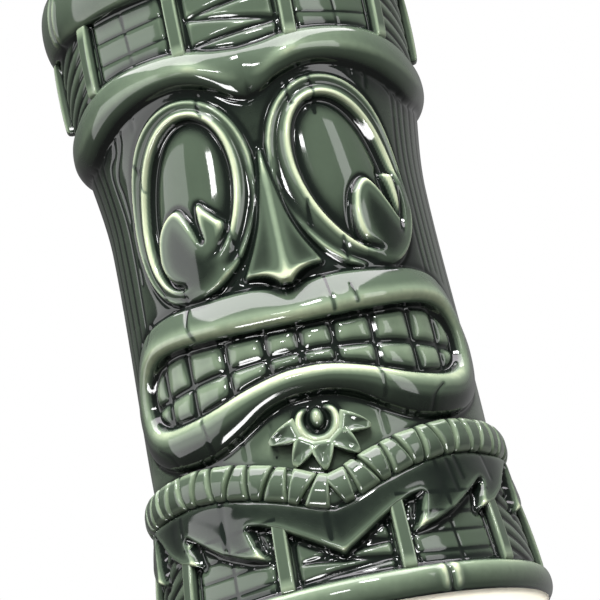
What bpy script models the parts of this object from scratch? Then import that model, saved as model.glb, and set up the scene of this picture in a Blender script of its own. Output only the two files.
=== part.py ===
"""Tiki mug: a turned stoneware cup with its carved ornaments as separate clay sprigs.

The mug stands on +Z with its axis through the origin and its face towards -Y. Angles run round
the mug in degrees, with 0 at the middle of the face and positive towards +X.
"""

import math

import bmesh
import bpy
from mathutils import Matrix, Vector

MM = 0.001

# Clearances
SEAT_GAP = 0.3 * MM  # between a sprig and the wall that it sits on
PIECE_GAP = 0.4 * MM  # between two sprigs side by side
WELD = 0.001 * MM

# The cup. Its height is the sum of the bands named here, from the table up.
FOOT_BAND = 8.0 * MM
LOWER_FRIEZE = 16.0 * MM
SKIRT_BAND = 13.5 * MM  # from the lower frieze to the middle of the belt
MOUTH_RISE = 24.0 * MM  # from the middle of the belt to the bite of the teeth
EYE_RISE = 40.0 * MM  # from the bite of the teeth to the middle of the eyes
BROW_RISE = 23.5 * MM  # from the middle of the eyes to the middle of the headband
HEADBAND_TO_FRIEZE = 10.0 * MM
UPPER_FRIEZE = 15.0 * MM
RIM_BAND = 15.0 * MM
FOOT_RADIUS = 43.2 * MM
BELT_INSET = 3.9 * MM  # how much less than the foot's radius the wall's is there
WAIST_INSET = 5.6 * MM
HEAD_INSET = 2.4 * MM
BELT_RADIUS = FOOT_RADIUS - BELT_INSET
WAIST_RADIUS = FOOT_RADIUS - WAIST_INSET
HEAD_RADIUS = FOOT_RADIUS - HEAD_INSET
WALL = 4.5 * MM
FLOOR = 6.0 * MM
FLOOR_ROUND = 7.0 * MM
LIP_ROUND = 1.8 * MM
FOOT_RING_WIDTH = 6.0 * MM
FOOT_RECESS = 2.0 * MM
TURN_STEPS = 48

# The rolls round the rim and the foot
RIM_ROLL_PROUD = 2.7 * MM
RIM_ROLL_DROP = 1.6 * MM  # from the top of the cup
FOOT_ROLL_PROUD = 3.0 * MM
FOOT_ROLL_LIFT = 0.7 * MM
ROLL_SPANS = 8
ROLL_FULLNESS = 0.7  # 1 is an ellipse, and less is a fuller roll

# Battens of the two friezes
BATTENS = 10
BATTEN_WIDTH = 2.8 * MM
BATTEN_PROUD = 1.5 * MM
BATTEN_END_GAP = 0.6 * MM
BATTEN_ROUND = 0.84 * MM

# Headband, with a dip between the brows
HEADBAND_HALF_WIDTH = 4.7 * MM
HEADBAND_PROUD = 2.6 * MM
BROW_DIP = 1.4 * MM
BROW_ARCH = 4.6 * MM
HEADBAND_STOPS = 60
BROW_ARCH_ANGLE = 33.0
BROW_ARCH_SPREAD = 24.0  # degrees
BROW_DIP_SPREAD = 12.0

# Eyes
EYE_APART = 6.4  # degrees from the middle of the face to the middle of the ring
EYE_HALF_ANGLE = 22.8  # to the middle of the ring
EYE_ANGLE = EYE_APART + EYE_HALF_ANGLE
EYE_HALF_HEIGHT = 20.8 * MM
EYE_LEAN = 12.0  # degrees outwards at the bottom
EYE_RING_HALF_WIDTH = 2.4 * MM
EYE_RING_PROUD = 1.9 * MM
EYE_STOPS = 40
EYEBALL_INSET = 1.7 * MM
EYEBALL_PROUD = 2.4 * MM
LID_RAISE = 1.1 * MM
LID_HEIGHT = 18.0 * MM  # from the bottom of the eye's oval to the lid's peaks
LID_NOTCH_DEPTH = 8.5 * MM
LID_NOTCH_WIDTH = 4.0 * MM
LID_NOTCHES = {"left": 3.4 * MM, "right": 5.6 * MM}  # to the right of each eye's middle
LID_NOTCH_LEAN = 0.3  # how far right of the notch its right side tops out, in notch widths
LID_SLOPE = 0.6

# Nose
NOSE_LENGTH = 31.0 * MM
NOSE_BASE_ABOVE_BITE = 18.5 * MM
NOSE_BASE_HALF_WIDTH = 8.0 * MM
NOSE_TOP_HALF_WIDTH = 0.8 * MM
NOSE_PROUD = 5.0 * MM
NOSE_TIP_DROP = 4.5 * MM

# Lips: the line of the closed roll, as angle, height above the bite, and half width
LIP_LINE = (
    (0.0, 7.6, 3.3),
    (28.0, 9.0, 3.8),
    (50.0, 10.2, 4.4),
    (63.5, 6.6, 4.7),
    (68.5, -1.0, 5.0),
    (63.5, -10.0, 5.0),
    (50.0, -14.2, 5.1),
    (36.0, -14.4, 5.1),
    (20.0, -11.2, 5.0),
    (9.0, -8.6, 4.4),
    (0.0, -7.8, 4.3),
)
LIP_PROUD = 3.0 * MM

# Teeth: the joints between them on one side, in degrees
TOOTH_JOINTS = (0.0, 11.5, 25.5, 40.0, 52.0, 62.0)
TOOTH_GAP = 1.1 * MM
TOOTH_PROUD = 1.5 * MM
BITE_GAP = 0.9 * MM
BITE_DROP = 2.6 * MM  # how far the bite falls to the corners of the mouth
TOOTH_REACH = {"upper": 8.0 * MM, "lower": 10.0 * MM}  # from the bite to behind the lip

# Flower under the chin
FLOWER_BELOW_BITE = 16.6 * MM
CUP_RADIUS = 3.7 * MM
CUP_THICKNESS = 1.5 * MM
BEAD_RADIUS = 2.5 * MM
BEAD_LENGTH = 3.25 * MM  # from its middle to its ends
PETALS = 5
PETAL_FAN = 176.0  # degrees from the first petal's middle to the last one's
PETAL_LENGTH = 5.0 * MM
PETAL_HALF_WIDTH = 1.9 * MM
PETAL_PROUD = 1.9 * MM
PETAL_TIP = 0.2 * MM

# Rope belt, which dips to a point in front, and the leaf skirt under it
BELT_HALF_WIDTH = 3.6 * MM
BELT_PROUD = 2.5 * MM
BELT_DIP = 9.0 * MM
BELT_DIP_ANGLE = 38.0
BELT_DIP_POWER = 1.6
BELT_PITCH = 4.1 * MM  # about how far it is from one bead of the rope to the next
BELT_BEADS = 2 * round(math.pi * BELT_RADIUS / BELT_PITCH)
BELT_WAIST = 0.88  # the width of the rope between two beads, beside that of a bead
LEAVES = 14
LEAF_PROUD = 1.9 * MM
LEAF_CLEAR = 0.6 * MM  # between the back of the leaves and the battens' wall
FRONT_LEAF_DROP = 8.5 * MM
LEAF_NOTCH_DROP = 6.0 * MM  # from the belt to the notches between the leaves
SIDE_LEAF_DROP = 6.5 * MM
LEAF_POWER = 1.3
LEAF_COLUMNS = 12  # for each leaf
LEAF_ROWS = 3

# Heights that follow from the bands
FRIEZE_TOP = FOOT_BAND + LOWER_FRIEZE
BELT_Z = FRIEZE_TOP + SKIRT_BAND
BITE_Z = BELT_Z + MOUTH_RISE
EYE_Z = BITE_Z + EYE_RISE
BROW_Z = EYE_Z + BROW_RISE
UPPER_FRIEZE_Z = BROW_Z + HEADBAND_TO_FRIEZE
RIM_BAND_Z = UPPER_FRIEZE_Z + UPPER_FRIEZE
HEIGHT = RIM_BAND_Z + RIM_BAND

COLOURS = {
    "wall_glaze": (0.075, 0.130, 0.085),
    "band_glaze": (0.110, 0.180, 0.115),
    "batten_glaze": (0.230, 0.330, 0.200),
    "eye_glaze": (0.120, 0.200, 0.130),
    "tooth_glaze": (0.150, 0.240, 0.150),
    "flower_glaze": (0.260, 0.370, 0.220),
    "leaf_glaze": (0.085, 0.145, 0.100),
}


def clear_scene():
    for old in list(bpy.data.objects):
        bpy.data.objects.remove(old)


def new_collection(name):
    made = bpy.data.collections.new(name)
    bpy.context.scene.collection.children.link(made)
    return made


def glaze(name):
    """One Principled material for each glaze, made the first time it is asked for."""
    made = bpy.data.materials.get(name)
    if made is None:
        made = bpy.data.materials.new(name)
        made.use_nodes = True
        shader = made.node_tree.nodes["Principled BSDF"]
        shader.inputs["Base Color"].default_value = (*COLOURS[name], 1.0)
        shader.inputs["Roughness"].default_value = 0.12
        shader.inputs["Metallic"].default_value = 0.0
    return made


def smoothstep(value):
    value = min(1.0, max(0.0, value))
    return value * value * (3.0 - 2.0 * value)


def wall_radius(z):
    """Outer radius of the cup's wall at a height."""
    if z <= FOOT_BAND:
        return FOOT_RADIUS
    if z <= BELT_Z:
        share = (z - FOOT_BAND) / (BELT_Z - FOOT_BAND)
        return FOOT_RADIUS + share * (BELT_RADIUS - FOOT_RADIUS)
    if z <= EYE_Z:
        share = smoothstep((z - BELT_Z) / (EYE_Z - BELT_Z))
        return BELT_RADIUS + share * (WAIST_RADIUS - BELT_RADIUS)
    share = smoothstep((z - EYE_Z) / (UPPER_FRIEZE_Z - EYE_Z))
    return WAIST_RADIUS + share * (HEAD_RADIUS - WAIST_RADIUS)


def wall_heights():
    """The heights at which the wall's profile has a point, from the top down."""
    heights = [HEIGHT - LIP_ROUND, RIM_BAND_Z, UPPER_FRIEZE_Z]
    for low, high, spans in ((EYE_Z, UPPER_FRIEZE_Z, 6), (BELT_Z, EYE_Z, 5)):
        heights += [high + (low - high) * i / spans for i in range(1, spans + 1)]
    return heights + [FOOT_BAND]


def on_wall(angle, z, proud=0.0):
    """A point at an angle and a height, so far out from the wall."""
    radius = wall_radius(z) + proud
    turn = math.radians(angle)
    return Vector((radius * math.sin(turn), -radius * math.cos(turn), z))


def face_frame(angle, z, proud=0.0):
    """A matrix at a point on the wall: X to the right, Y into the mug, Z up."""
    return Matrix.Translation(on_wall(angle, z, proud)) @ Matrix.Rotation(math.radians(angle), 4, "Z")


def add_object(name, data, collection, colour=None):
    made = bpy.data.objects.new(name, data)
    collection.objects.link(made)
    if colour:
        data.materials.append(glaze(colour))
    return made


def shade_round(mesh, sharp_angle=35.0):
    mesh.shade_smooth()
    mesh.set_sharp_from_angle(angle=math.radians(sharp_angle))


def turned(name, profile, collection, colour=None, closed=False):
    """A profile of (radius, height) points turned round the mug's axis."""
    mesh = bpy.data.meshes.new(name)
    edges = [(i, i + 1) for i in range(len(profile) - 1)]
    if closed:
        edges.append((len(profile) - 1, 0))
    mesh.from_pydata([(radius, 0.0, z) for radius, z in profile], edges, [])
    made = add_object(name, mesh, collection, colour)
    screw = made.modifiers.new("Turn", "SCREW")
    screw.steps = TURN_STEPS
    screw.render_steps = TURN_STEPS
    screw.use_merge_vertices = True
    screw.merge_threshold = WELD
    screw.use_smooth_shade = True
    return made


def arc(centre, radius, start, end, points):
    """Points of a circular arc in a profile, its angles in degrees from +X."""
    found = []
    for i in range(points):
        turn = math.radians(start + (end - start) * i / (points - 1))
        found.append((centre[0] + radius * math.cos(turn), centre[1] + radius * math.sin(turn)))
    return found


def cut(piece, cutter, name="Cut"):
    """Takes the cutter's shape out of the piece."""
    boolean = piece.modifiers.new(name, "BOOLEAN")
    boolean.operation = "DIFFERENCE"
    boolean.solver = "EXACT"
    boolean.object = cutter


def hide_cutter(cutter):
    cutter.hide_render = True
    cutter.display_type = "WIRE"
    return cutter


def mesh_from_bmesh(name, shape):
    bmesh.ops.recalc_face_normals(shape, faces=shape.faces)
    mesh = bpy.data.meshes.new(name)
    shape.to_mesh(mesh)
    shape.free()
    shade_round(mesh)
    return mesh


def bmesh_of_curve(name, curve, collection):
    """The mesh that a curve makes, with its caps joined to its sides."""
    temporary = add_object(name, curve, collection)
    bpy.context.view_layer.update()
    evaluated = temporary.evaluated_get(bpy.context.evaluated_depsgraph_get())
    mesh = bpy.data.meshes.new_from_object(evaluated)
    shape = bmesh.new()
    shape.from_mesh(mesh)
    bpy.data.meshes.remove(mesh)
    bpy.data.objects.remove(temporary)
    bmesh.ops.remove_doubles(shape, verts=shape.verts, dist=WELD)
    return shape


def tube(name, stops, collection, colour=None, grow=0.0, sides=3, closed=True):
    """A round tube through (angle, height, half width, proud) stops, sunk in the wall.

    Its middle lies under the surface, so that what shows is half_width to each side and stands
    out by proud. With grow it is a cutter that leaves that much room round the tube.
    """
    curve = bpy.data.curves.new(name, "CURVE")
    curve.dimensions = "3D"
    curve.bevel_depth = 1.0
    curve.bevel_resolution = sides
    curve.use_fill_caps = not closed
    spline = curve.splines.new("POLY")
    spline.points.add(len(stops) - 1)
    spline.use_cyclic_u = closed
    for point, (angle, z, half_width, proud) in zip(spline.points, stops):
        radius = (half_width**2 + proud**2) / (2.0 * proud)
        point.co = (*on_wall(angle, z, proud - radius), 1.0)
        point.radius = radius + grow
    shape = bmesh_of_curve(name + "_path", curve, collection)
    return add_object(name, mesh_from_bmesh(name, shape), collection, colour)


def between(a, b, c, d, t):
    """The Catmull-Rom value at t from b to c, where a comes before b and d after c."""
    square = (2 * a - 5 * b + 4 * c - d) * t**2
    cube = (3 * b - a - 3 * c + d) * t**3
    return 0.5 * (2 * b + (c - a) * t + square + cube)


def smooth_loop(points, spans):
    """A closed Catmull-Rom curve through points of any number of values."""
    found = []
    count = len(points)
    for i in range(count):
        stops = [points[(i + k) % count] for k in (-1, 0, 1, 2)]
        for step in range(spans):
            found.append(tuple(between(*values, step / spans) for values in zip(*stops)))
    return found


def make_cup(parts):
    """The cup: floor, wall and rounded lip in one turned piece, with a shallow recess under it."""
    outer = [(wall_radius(z), z) for z in wall_heights()]
    inner = [(radius - WALL, z) for radius, z in reversed(outer[1:]) if z > FLOOR + FLOOR_ROUND]
    floor_radius = wall_radius(FLOOR + FLOOR_ROUND) - WALL
    top = HEIGHT - LIP_ROUND
    crown = arc((HEAD_RADIUS - LIP_ROUND, top), LIP_ROUND, 90, 0, 4)
    inner_crown = arc((HEAD_RADIUS - WALL + LIP_ROUND, top), LIP_ROUND, 180, 90, 4)
    corner = arc((floor_radius - FLOOR_ROUND, FLOOR + FLOOR_ROUND), FLOOR_ROUND, 270, 360, 5)
    recess = FOOT_RADIUS - FOOT_RING_WIDTH
    foot = [(FOOT_RADIUS, 0.0), (recess, 0.0), (recess - FOOT_RECESS, FOOT_RECESS), (0.0, FOOT_RECESS)]
    profile = [(0.0, FLOOR)] + corner + inner + inner_crown + crown + outer[1:] + foot
    return turned("mug_body", profile, parts, "wall_glaze")


def make_seat_cutter(cutters):
    """The wall's outside with the seat gap on it, which every sprig is hollowed to fit."""
    side = [(wall_radius(z) + SEAT_GAP, z) for z in wall_heights()]
    side[0] = (side[0][0], HEIGHT + RIM_BAND)
    side.append((FOOT_RADIUS + SEAT_GAP, -FOOT_BAND))
    profile = [(0.0, side[0][1])] + side + [(0.0, side[-1][1])]
    return hide_cutter(turned("wall_seat", profile, cutters))


def make_roll(name, low, high, proud, parts):
    """A half-round ring on a straight band of the wall, such as the bamboo roll of the rim."""
    radius = wall_radius(0.5 * (low + high)) + SEAT_GAP
    half = 0.5 * (high - low)
    profile = []
    for i in range(ROLL_SPANS + 1):
        turn = math.pi * (0.5 - i / ROLL_SPANS)
        out = proud * max(0.0, math.cos(turn)) ** ROLL_FULLNESS
        profile.append((radius + out, low + half + half * math.sin(turn)))
    profile[0] = (radius, high)
    profile[-1] = (radius, low)
    return turned(name, profile, parts, "band_glaze", closed=True)


def make_battens(row, low, high, seat, parts):
    """The upright strips of one frieze, each half a spacing from the middle of the face."""
    for i in range(BATTENS):
        angle = (i + 0.5) * 360.0 / BATTENS
        middle = 0.5 * (low + high)
        depth = 2.0 * BATTEN_PROUD
        shape = bmesh.new()
        bmesh.ops.create_cube(shape, size=1.0)
        bmesh.ops.scale(shape, vec=(BATTEN_WIDTH, depth, high - low), verts=shape.verts)
        for corner in shape.verts:
            corner.co.y -= wall_radius(middle + corner.co.z) - wall_radius(middle)
        name = f"{row}_batten_{i + 1:02d}"
        batten = add_object(name, mesh_from_bmesh(name, shape), parts, "batten_glaze")
        batten.matrix_world = face_frame(angle, middle, BATTEN_PROUD - 0.5 * depth)
        bevel = batten.modifiers.new("Round", "BEVEL")
        bevel.width = BATTEN_ROUND
        bevel.segments = 2
        cut(batten, seat, "Seat")


def headband_stops():
    """The headband's line: level behind, arched over each eye and dipped between them."""
    stops = []
    for i in range(HEADBAND_STOPS):
        angle = 360.0 * i / HEADBAND_STOPS - 180.0
        arch = BROW_ARCH * math.exp(-(((abs(angle) - BROW_ARCH_ANGLE) / BROW_ARCH_SPREAD) ** 2))
        dip = BROW_DIP * math.exp(-((angle / BROW_DIP_SPREAD) ** 2))
        stops.append((angle, BROW_Z + arch - dip, HEADBAND_HALF_WIDTH, HEADBAND_PROUD))
    return stops


def eye_stops(side):
    """The leaning oval of an eye's ring, as stops. side is -1 on the left and 1 on the right."""
    radius = wall_radius(EYE_Z)
    half_width = math.radians(EYE_HALF_ANGLE) * radius
    lean = math.radians(EYE_LEAN)
    stops = []
    for i in range(EYE_STOPS):
        turn = 2.0 * math.pi * i / EYE_STOPS
        across = half_width * math.cos(turn)
        up = EYE_HALF_HEIGHT * math.sin(turn)
        x = across * math.cos(lean) - up * math.sin(lean)
        z = across * math.sin(lean) + up * math.cos(lean)
        angle = side * (EYE_ANGLE + math.degrees(x / radius))
        stops.append((angle, EYE_Z + z, EYE_RING_HALF_WIDTH, EYE_RING_PROUD))
    return stops


def eyeball_shape(side, grow, proud):
    """A leaning oval dome, as a scaled sphere in the eye's place on the wall."""
    radius = wall_radius(EYE_Z)
    inset = EYE_RING_HALF_WIDTH + EYEBALL_INSET - grow
    across = math.sin(math.radians(EYE_HALF_ANGLE)) * radius - inset
    up = EYE_HALF_HEIGHT - inset
    deep = proud + across**2 / (2.0 * radius)
    shape = bmesh.new()
    bmesh.ops.create_uvsphere(shape, u_segments=24, v_segments=12, radius=1.0)
    bmesh.ops.rotate(shape, matrix=Matrix.Rotation(math.pi / 2, 3, "X"), verts=shape.verts)
    bmesh.ops.scale(shape, vec=(across, deep, up), verts=shape.verts)
    lean = Matrix.Rotation(math.radians(-side * EYE_LEAN), 3, "Y")
    bmesh.ops.rotate(shape, matrix=lean, verts=shape.verts)
    bmesh.ops.transform(shape, matrix=face_frame(side * EYE_ANGLE, EYE_Z, proud - deep), verts=shape.verts)
    return shape


def lid_cutter(side, label, cutters):
    """All that lies above a lid's notched top edge: a flat outline with a thickness."""
    peak = LID_HEIGHT - EYE_HALF_HEIGHT
    notch = LID_NOTCHES[label]
    wide = 2.0 * EYE_HALF_HEIGHT
    outline = [
        (-wide, peak - wide),
        (notch - LID_NOTCH_WIDTH, peak),
        (notch, peak - LID_NOTCH_DEPTH),
        (notch + LID_NOTCH_LEAN * LID_NOTCH_WIDTH, peak),
        (notch + wide, peak - LID_SLOPE * wide),
        (notch + wide, 2.0 * wide),
        (-wide, 2.0 * wide),
    ]
    curve = bpy.data.curves.new("lid_outline", "CURVE")
    curve.dimensions = "2D"
    curve.fill_mode = "BOTH"
    curve.extrude = wide
    spline = curve.splines.new("POLY")
    spline.points.add(len(outline) - 1)
    spline.use_cyclic_u = True
    for point, (x, z) in zip(spline.points, outline):
        point.co = (x, z, 0.0, 1.0)
    shape = bmesh_of_curve("lid_outline", curve, cutters)
    upright = face_frame(side * EYE_ANGLE, EYE_Z) @ Matrix.Rotation(math.pi / 2, 4, "X")
    bmesh.ops.transform(shape, matrix=upright, verts=shape.verts)
    name = f"lid_cutter_{label}"
    return hide_cutter(add_object(name, mesh_from_bmesh(name, shape), cutters))


def make_eyes(seat, parts, cutters):
    """For each eye a ring, a domed eyeball, and a carved lower lid seated over the dome."""
    clearances = []
    for side, label in ((-1, "left"), (1, "right")):
        ring = tube(f"eye_ring_{label}", eye_stops(side), parts, "eye_glaze", sides=2)
        cut(ring, seat, "Seat")
        room = tube(f"eye_clearance_{label}", eye_stops(side), cutters, grow=PIECE_GAP, sides=2)
        clearances.append(hide_cutter(room))
        name = f"eyeball_{label}"
        ball = eyeball_shape(side, 0.0, EYEBALL_PROUD)
        ball = add_object(name, mesh_from_bmesh(name, ball), parts, "eye_glaze")
        cut(ball, seat, "Seat")
        name = f"ball_clearance_{label}"
        room = eyeball_shape(side, SEAT_GAP, EYEBALL_PROUD + SEAT_GAP)
        room = hide_cutter(add_object(name, mesh_from_bmesh(name, room), cutters))
        name = f"lower_lid_{label}"
        lid = eyeball_shape(side, LID_RAISE, EYEBALL_PROUD + LID_RAISE)
        lid = add_object(name, mesh_from_bmesh(name, lid), parts, "eye_glaze")
        for cutter in (seat, room, lid_cutter(side, label, cutters)):
            cut(lid, cutter)
    return clearances


def make_nose(seat, eye_clearances, parts):
    """A half cone, narrow between the eyes and wide at the nostrils, with a point under it."""
    radius = wall_radius(BITE_Z + NOSE_BASE_ABOVE_BITE)
    base = BITE_Z + NOSE_BASE_ABOVE_BITE
    shape = bmesh.new()
    bmesh.ops.create_cone(
        shape,
        cap_ends=True,
        segments=20,
        radius1=NOSE_BASE_HALF_WIDTH,
        radius2=NOSE_TOP_HALF_WIDTH,
        depth=NOSE_LENGTH,
    )
    for corner in shape.verts:
        if corner.co.z < 0.0:
            corner.co.z -= NOSE_TIP_DROP * (1.0 - abs(corner.co.x) / NOSE_BASE_HALF_WIDTH)
    bmesh.ops.scale(shape, vec=(1.0, NOSE_PROUD / NOSE_BASE_HALF_WIDTH, 1.0), verts=shape.verts)
    bmesh.ops.translate(shape, vec=(0.0, -radius, base + 0.5 * NOSE_LENGTH), verts=shape.verts)
    nose = add_object("nose", mesh_from_bmesh("nose", shape), parts, "band_glaze")
    for cutter in (seat, *eye_clearances):
        cut(nose, cutter)


def lip_stops():
    right = [(angle, BITE_Z + rise * MM, half * MM, LIP_PROUD) for angle, rise, half in LIP_LINE]
    left = [(-angle, z, half, proud) for angle, z, half, proud in right[-2:0:-1]]
    return smooth_loop(right + left, 3)


def bite_height(angle):
    return BITE_Z - BITE_DROP * (angle / TOOTH_JOINTS[-1]) ** 2


def tooth(name, start, end, row, parts):
    """A block over one tooth's angles, from the bite to behind the lip, which then trims it."""
    radius = wall_radius(BITE_Z)
    middle = 0.5 * (start + end)
    width = math.radians(end - start) * radius - TOOTH_GAP
    away = 1.0 if row == "upper" else -1.0
    near = 0.5 * BITE_GAP
    far = TOOTH_REACH[row]
    deep = TOOTH_PROUD + SEAT_GAP + width**2 / (8.0 * radius)
    shape = bmesh.new()
    bmesh.ops.create_cube(shape, size=1.0)
    bmesh.ops.scale(shape, vec=(width, deep, far - near), verts=shape.verts)
    bmesh.ops.subdivide_edges(
        shape,
        edges=[e for e in shape.edges if abs(e.verts[0].co.x - e.verts[1].co.x) > 0.5 * width],
        cuts=3,
        use_grid_fill=True,
    )
    for corner in shape.verts:
        around = corner.co.x / radius
        out = radius + TOOTH_PROUD - 0.5 * deep - corner.co.y
        angle = middle + math.degrees(around)
        z = bite_height(angle) + away * (near + 0.5 * (far - near)) + corner.co.z
        turn = math.radians(angle)
        corner.co = Vector((out * math.sin(turn), -out * math.cos(turn), z))
    return add_object(name, mesh_from_bmesh(name, shape), parts, "tooth_glaze")


def make_mouth(seat, parts, cutters):
    lips = tube("lip_roll", lip_stops(), parts, "band_glaze", sides=3)
    cut(lips, seat, "Seat")
    clearance = hide_cutter(tube("lip_clearance", lip_stops(), cutters, grow=PIECE_GAP, sides=3))
    joints = [-angle for angle in reversed(TOOTH_JOINTS)] + list(TOOTH_JOINTS[1:])
    for row in TOOTH_REACH:
        for i, (start, end) in enumerate(zip(joints, joints[1:])):
            block = tooth(f"{row}_tooth_{i + 1}", start, end, row, parts)
            cut(block, seat, "Seat")
            cut(block, clearance, "Lip")
    return clearance


def belt_height(angle):
    dip = max(0.0, 1.0 - abs(angle) / BELT_DIP_ANGLE) ** BELT_DIP_POWER
    return BELT_Z - BELT_DIP * dip


def belt_stops():
    stops = []
    for i in range(2 * BELT_BEADS):
        angle = 180.0 * i / BELT_BEADS - 180.0
        full = BELT_WAIST if i % 2 == 0 else 1.0
        stops.append((angle, belt_height(angle), full * BELT_HALF_WIDTH, full * BELT_PROUD))
    return stops


def make_flower_centre(z, parts, cutters):
    """A cup with a bead set in it, in one piece."""
    here = face_frame(0.0, z)
    shape = bmesh.new()
    bmesh.ops.create_uvsphere(shape, u_segments=16, v_segments=8, radius=BEAD_RADIUS)
    bmesh.ops.scale(shape, vec=(1.0, 1.0, BEAD_LENGTH / BEAD_RADIUS), verts=shape.verts)
    bmesh.ops.transform(shape, matrix=here, verts=shape.verts)
    bead = hide_cutter(add_object("flower_bead", mesh_from_bmesh("flower_bead", shape), cutters))
    bpy.ops.mesh.primitive_torus_add(
        major_radius=CUP_RADIUS, minor_radius=CUP_THICKNESS, major_segments=24, minor_segments=8
    )
    centre = bpy.context.object
    centre.name = "flower_centre"
    centre.data.name = "flower_centre"
    centre.data.transform(here @ Matrix.Rotation(math.pi / 2, 4, "X"))
    centre.data.materials.append(glaze("flower_glaze"))
    for holder in list(centre.users_collection):
        holder.objects.unlink(centre)
    parts.objects.link(centre)
    join = centre.modifiers.new("Bead", "BOOLEAN")
    join.operation = "UNION"
    join.solver = "EXACT"
    join.object = bead
    return centre


def make_petal(number, z, parts):
    """A half cone that points away from the flower's centre, bent round the wall."""
    start = CUP_RADIUS + CUP_THICKNESS + PIECE_GAP
    turn = math.radians(PETAL_FAN * (number / (PETALS - 1) - 0.5))
    shape = bmesh.new()
    bmesh.ops.create_cone(
        shape, cap_ends=True, segments=6, radius1=PETAL_HALF_WIDTH, radius2=PETAL_TIP, depth=PETAL_LENGTH
    )
    bmesh.ops.scale(shape, vec=(1.0, PETAL_PROUD / PETAL_HALF_WIDTH, 1.0), verts=shape.verts)
    bmesh.ops.rotate(shape, matrix=Matrix.Rotation(math.pi, 3, "X"), verts=shape.verts)
    bmesh.ops.translate(shape, vec=(0.0, 0.0, -start - 0.5 * PETAL_LENGTH), verts=shape.verts)
    bmesh.ops.rotate(shape, matrix=Matrix.Rotation(-turn, 3, "Y"), verts=shape.verts)
    for corner in shape.verts:
        angle = math.degrees(corner.co.x / wall_radius(z))
        corner.co = on_wall(angle, z + corner.co.z, -corner.co.y)
    name = f"flower_petal_{number + 1}"
    return add_object(name, mesh_from_bmesh(name, shape), parts, "flower_glaze")


def make_flower(seat, lip_clearance, belt_clearance, parts, cutters):
    z = BITE_Z - FLOWER_BELOW_BITE
    centre = make_flower_centre(z, parts, cutters)
    for cutter in (seat, lip_clearance):
        cut(centre, cutter)
    for i in range(PETALS):
        petal = make_petal(i, z, parts)
        for cutter in (seat, lip_clearance, belt_clearance):
            cut(petal, cutter)


def leaf_edge(angle):
    """Height of the leaves' pointed lower edge: each leaf falls from its notch to its tip."""
    pitch = 360.0 / LEAVES
    away = abs(angle)
    leaf, share = divmod(away / pitch, 1.0)
    notch = belt_height(angle) - BELT_HALF_WIDTH - LEAF_NOTCH_DROP
    tip = FRONT_LEAF_DROP if leaf < 1 else SIDE_LEAF_DROP
    return notch - tip * (1.0 - share) ** LEAF_POWER


def make_skirt(parts):
    """The leaf skirt: a curved sheet from the belt down to its pointed edge, given a thickness."""
    columns = LEAVES * LEAF_COLUMNS
    shape = bmesh.new()
    grid = []
    for i in range(columns):
        angle = 360.0 * i / columns
        angle = angle if angle <= 180.0 else angle - 360.0
        high = belt_height(angle) - BELT_HALF_WIDTH - PIECE_GAP
        low = leaf_edge(angle)
        column = []
        for row in range(LEAF_ROWS + 1):
            z = high + (low - high) * row / LEAF_ROWS
            column.append(shape.verts.new(on_wall(angle, z, LEAF_CLEAR + BATTEN_PROUD)))
        grid.append(column)
    for i in range(columns):
        for row in range(LEAF_ROWS):
            here, following = grid[i], grid[(i + 1) % columns]
            shape.faces.new((here[row], here[row + 1], following[row + 1], following[row]))
    skirt = add_object("leaf_skirt", mesh_from_bmesh("leaf_skirt", shape), parts, "leaf_glaze")
    wall = skirt.modifiers.new("Thickness", "SOLIDIFY")
    wall.thickness = LEAF_PROUD - BATTEN_PROUD + LEAF_CLEAR
    wall.offset = 1.0
    return skirt


def build():
    clear_scene()
    parts = new_collection("tiki_mug")
    cutters = new_collection("cutters")
    make_cup(parts)
    seat = make_seat_cutter(cutters)
    make_roll("rim_roll", RIM_BAND_Z, HEIGHT - RIM_ROLL_DROP, RIM_ROLL_PROUD, parts)
    make_roll("foot_roll", FOOT_ROLL_LIFT, FOOT_BAND, FOOT_ROLL_PROUD, parts)
    make_battens("lower", FOOT_BAND + BATTEN_END_GAP, FRIEZE_TOP, seat, parts)
    make_battens("upper", UPPER_FRIEZE_Z, RIM_BAND_Z - BATTEN_END_GAP, seat, parts)
    eye_clearances = make_eyes(seat, parts, cutters)
    headband = tube("headband", headband_stops(), parts, "band_glaze", sides=3)
    for cutter in (seat, *eye_clearances):
        cut(headband, cutter)
    make_nose(seat, eye_clearances, parts)
    lip_clearance = make_mouth(seat, parts, cutters)
    belt = tube("rope_belt", belt_stops(), parts, "leaf_glaze", sides=2)
    cut(belt, seat, "Seat")
    belt_clearance = hide_cutter(tube("belt_clearance", belt_stops(), cutters, grow=PIECE_GAP, sides=2))
    make_flower(seat, lip_clearance, belt_clearance, parts, cutters)
    make_skirt(parts)


build()
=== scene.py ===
"""Tiki mug: the carved and glazed surface of the mug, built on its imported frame.

The carving is worked out on the wall's flat pattern, where x is an angle round the mug and z is a
height. It says how far the clay stands out of the turned wall at each place. Each ornament is then
lifted off that pattern as a closed tile of the wall, so that neighbours meet without a step.
Lengths on the flat pattern are in millimetres, and the mug's face looks towards -Y.
"""

import math
from functools import lru_cache

import bpy
import numpy as np
from mathutils import Matrix, Vector


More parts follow.
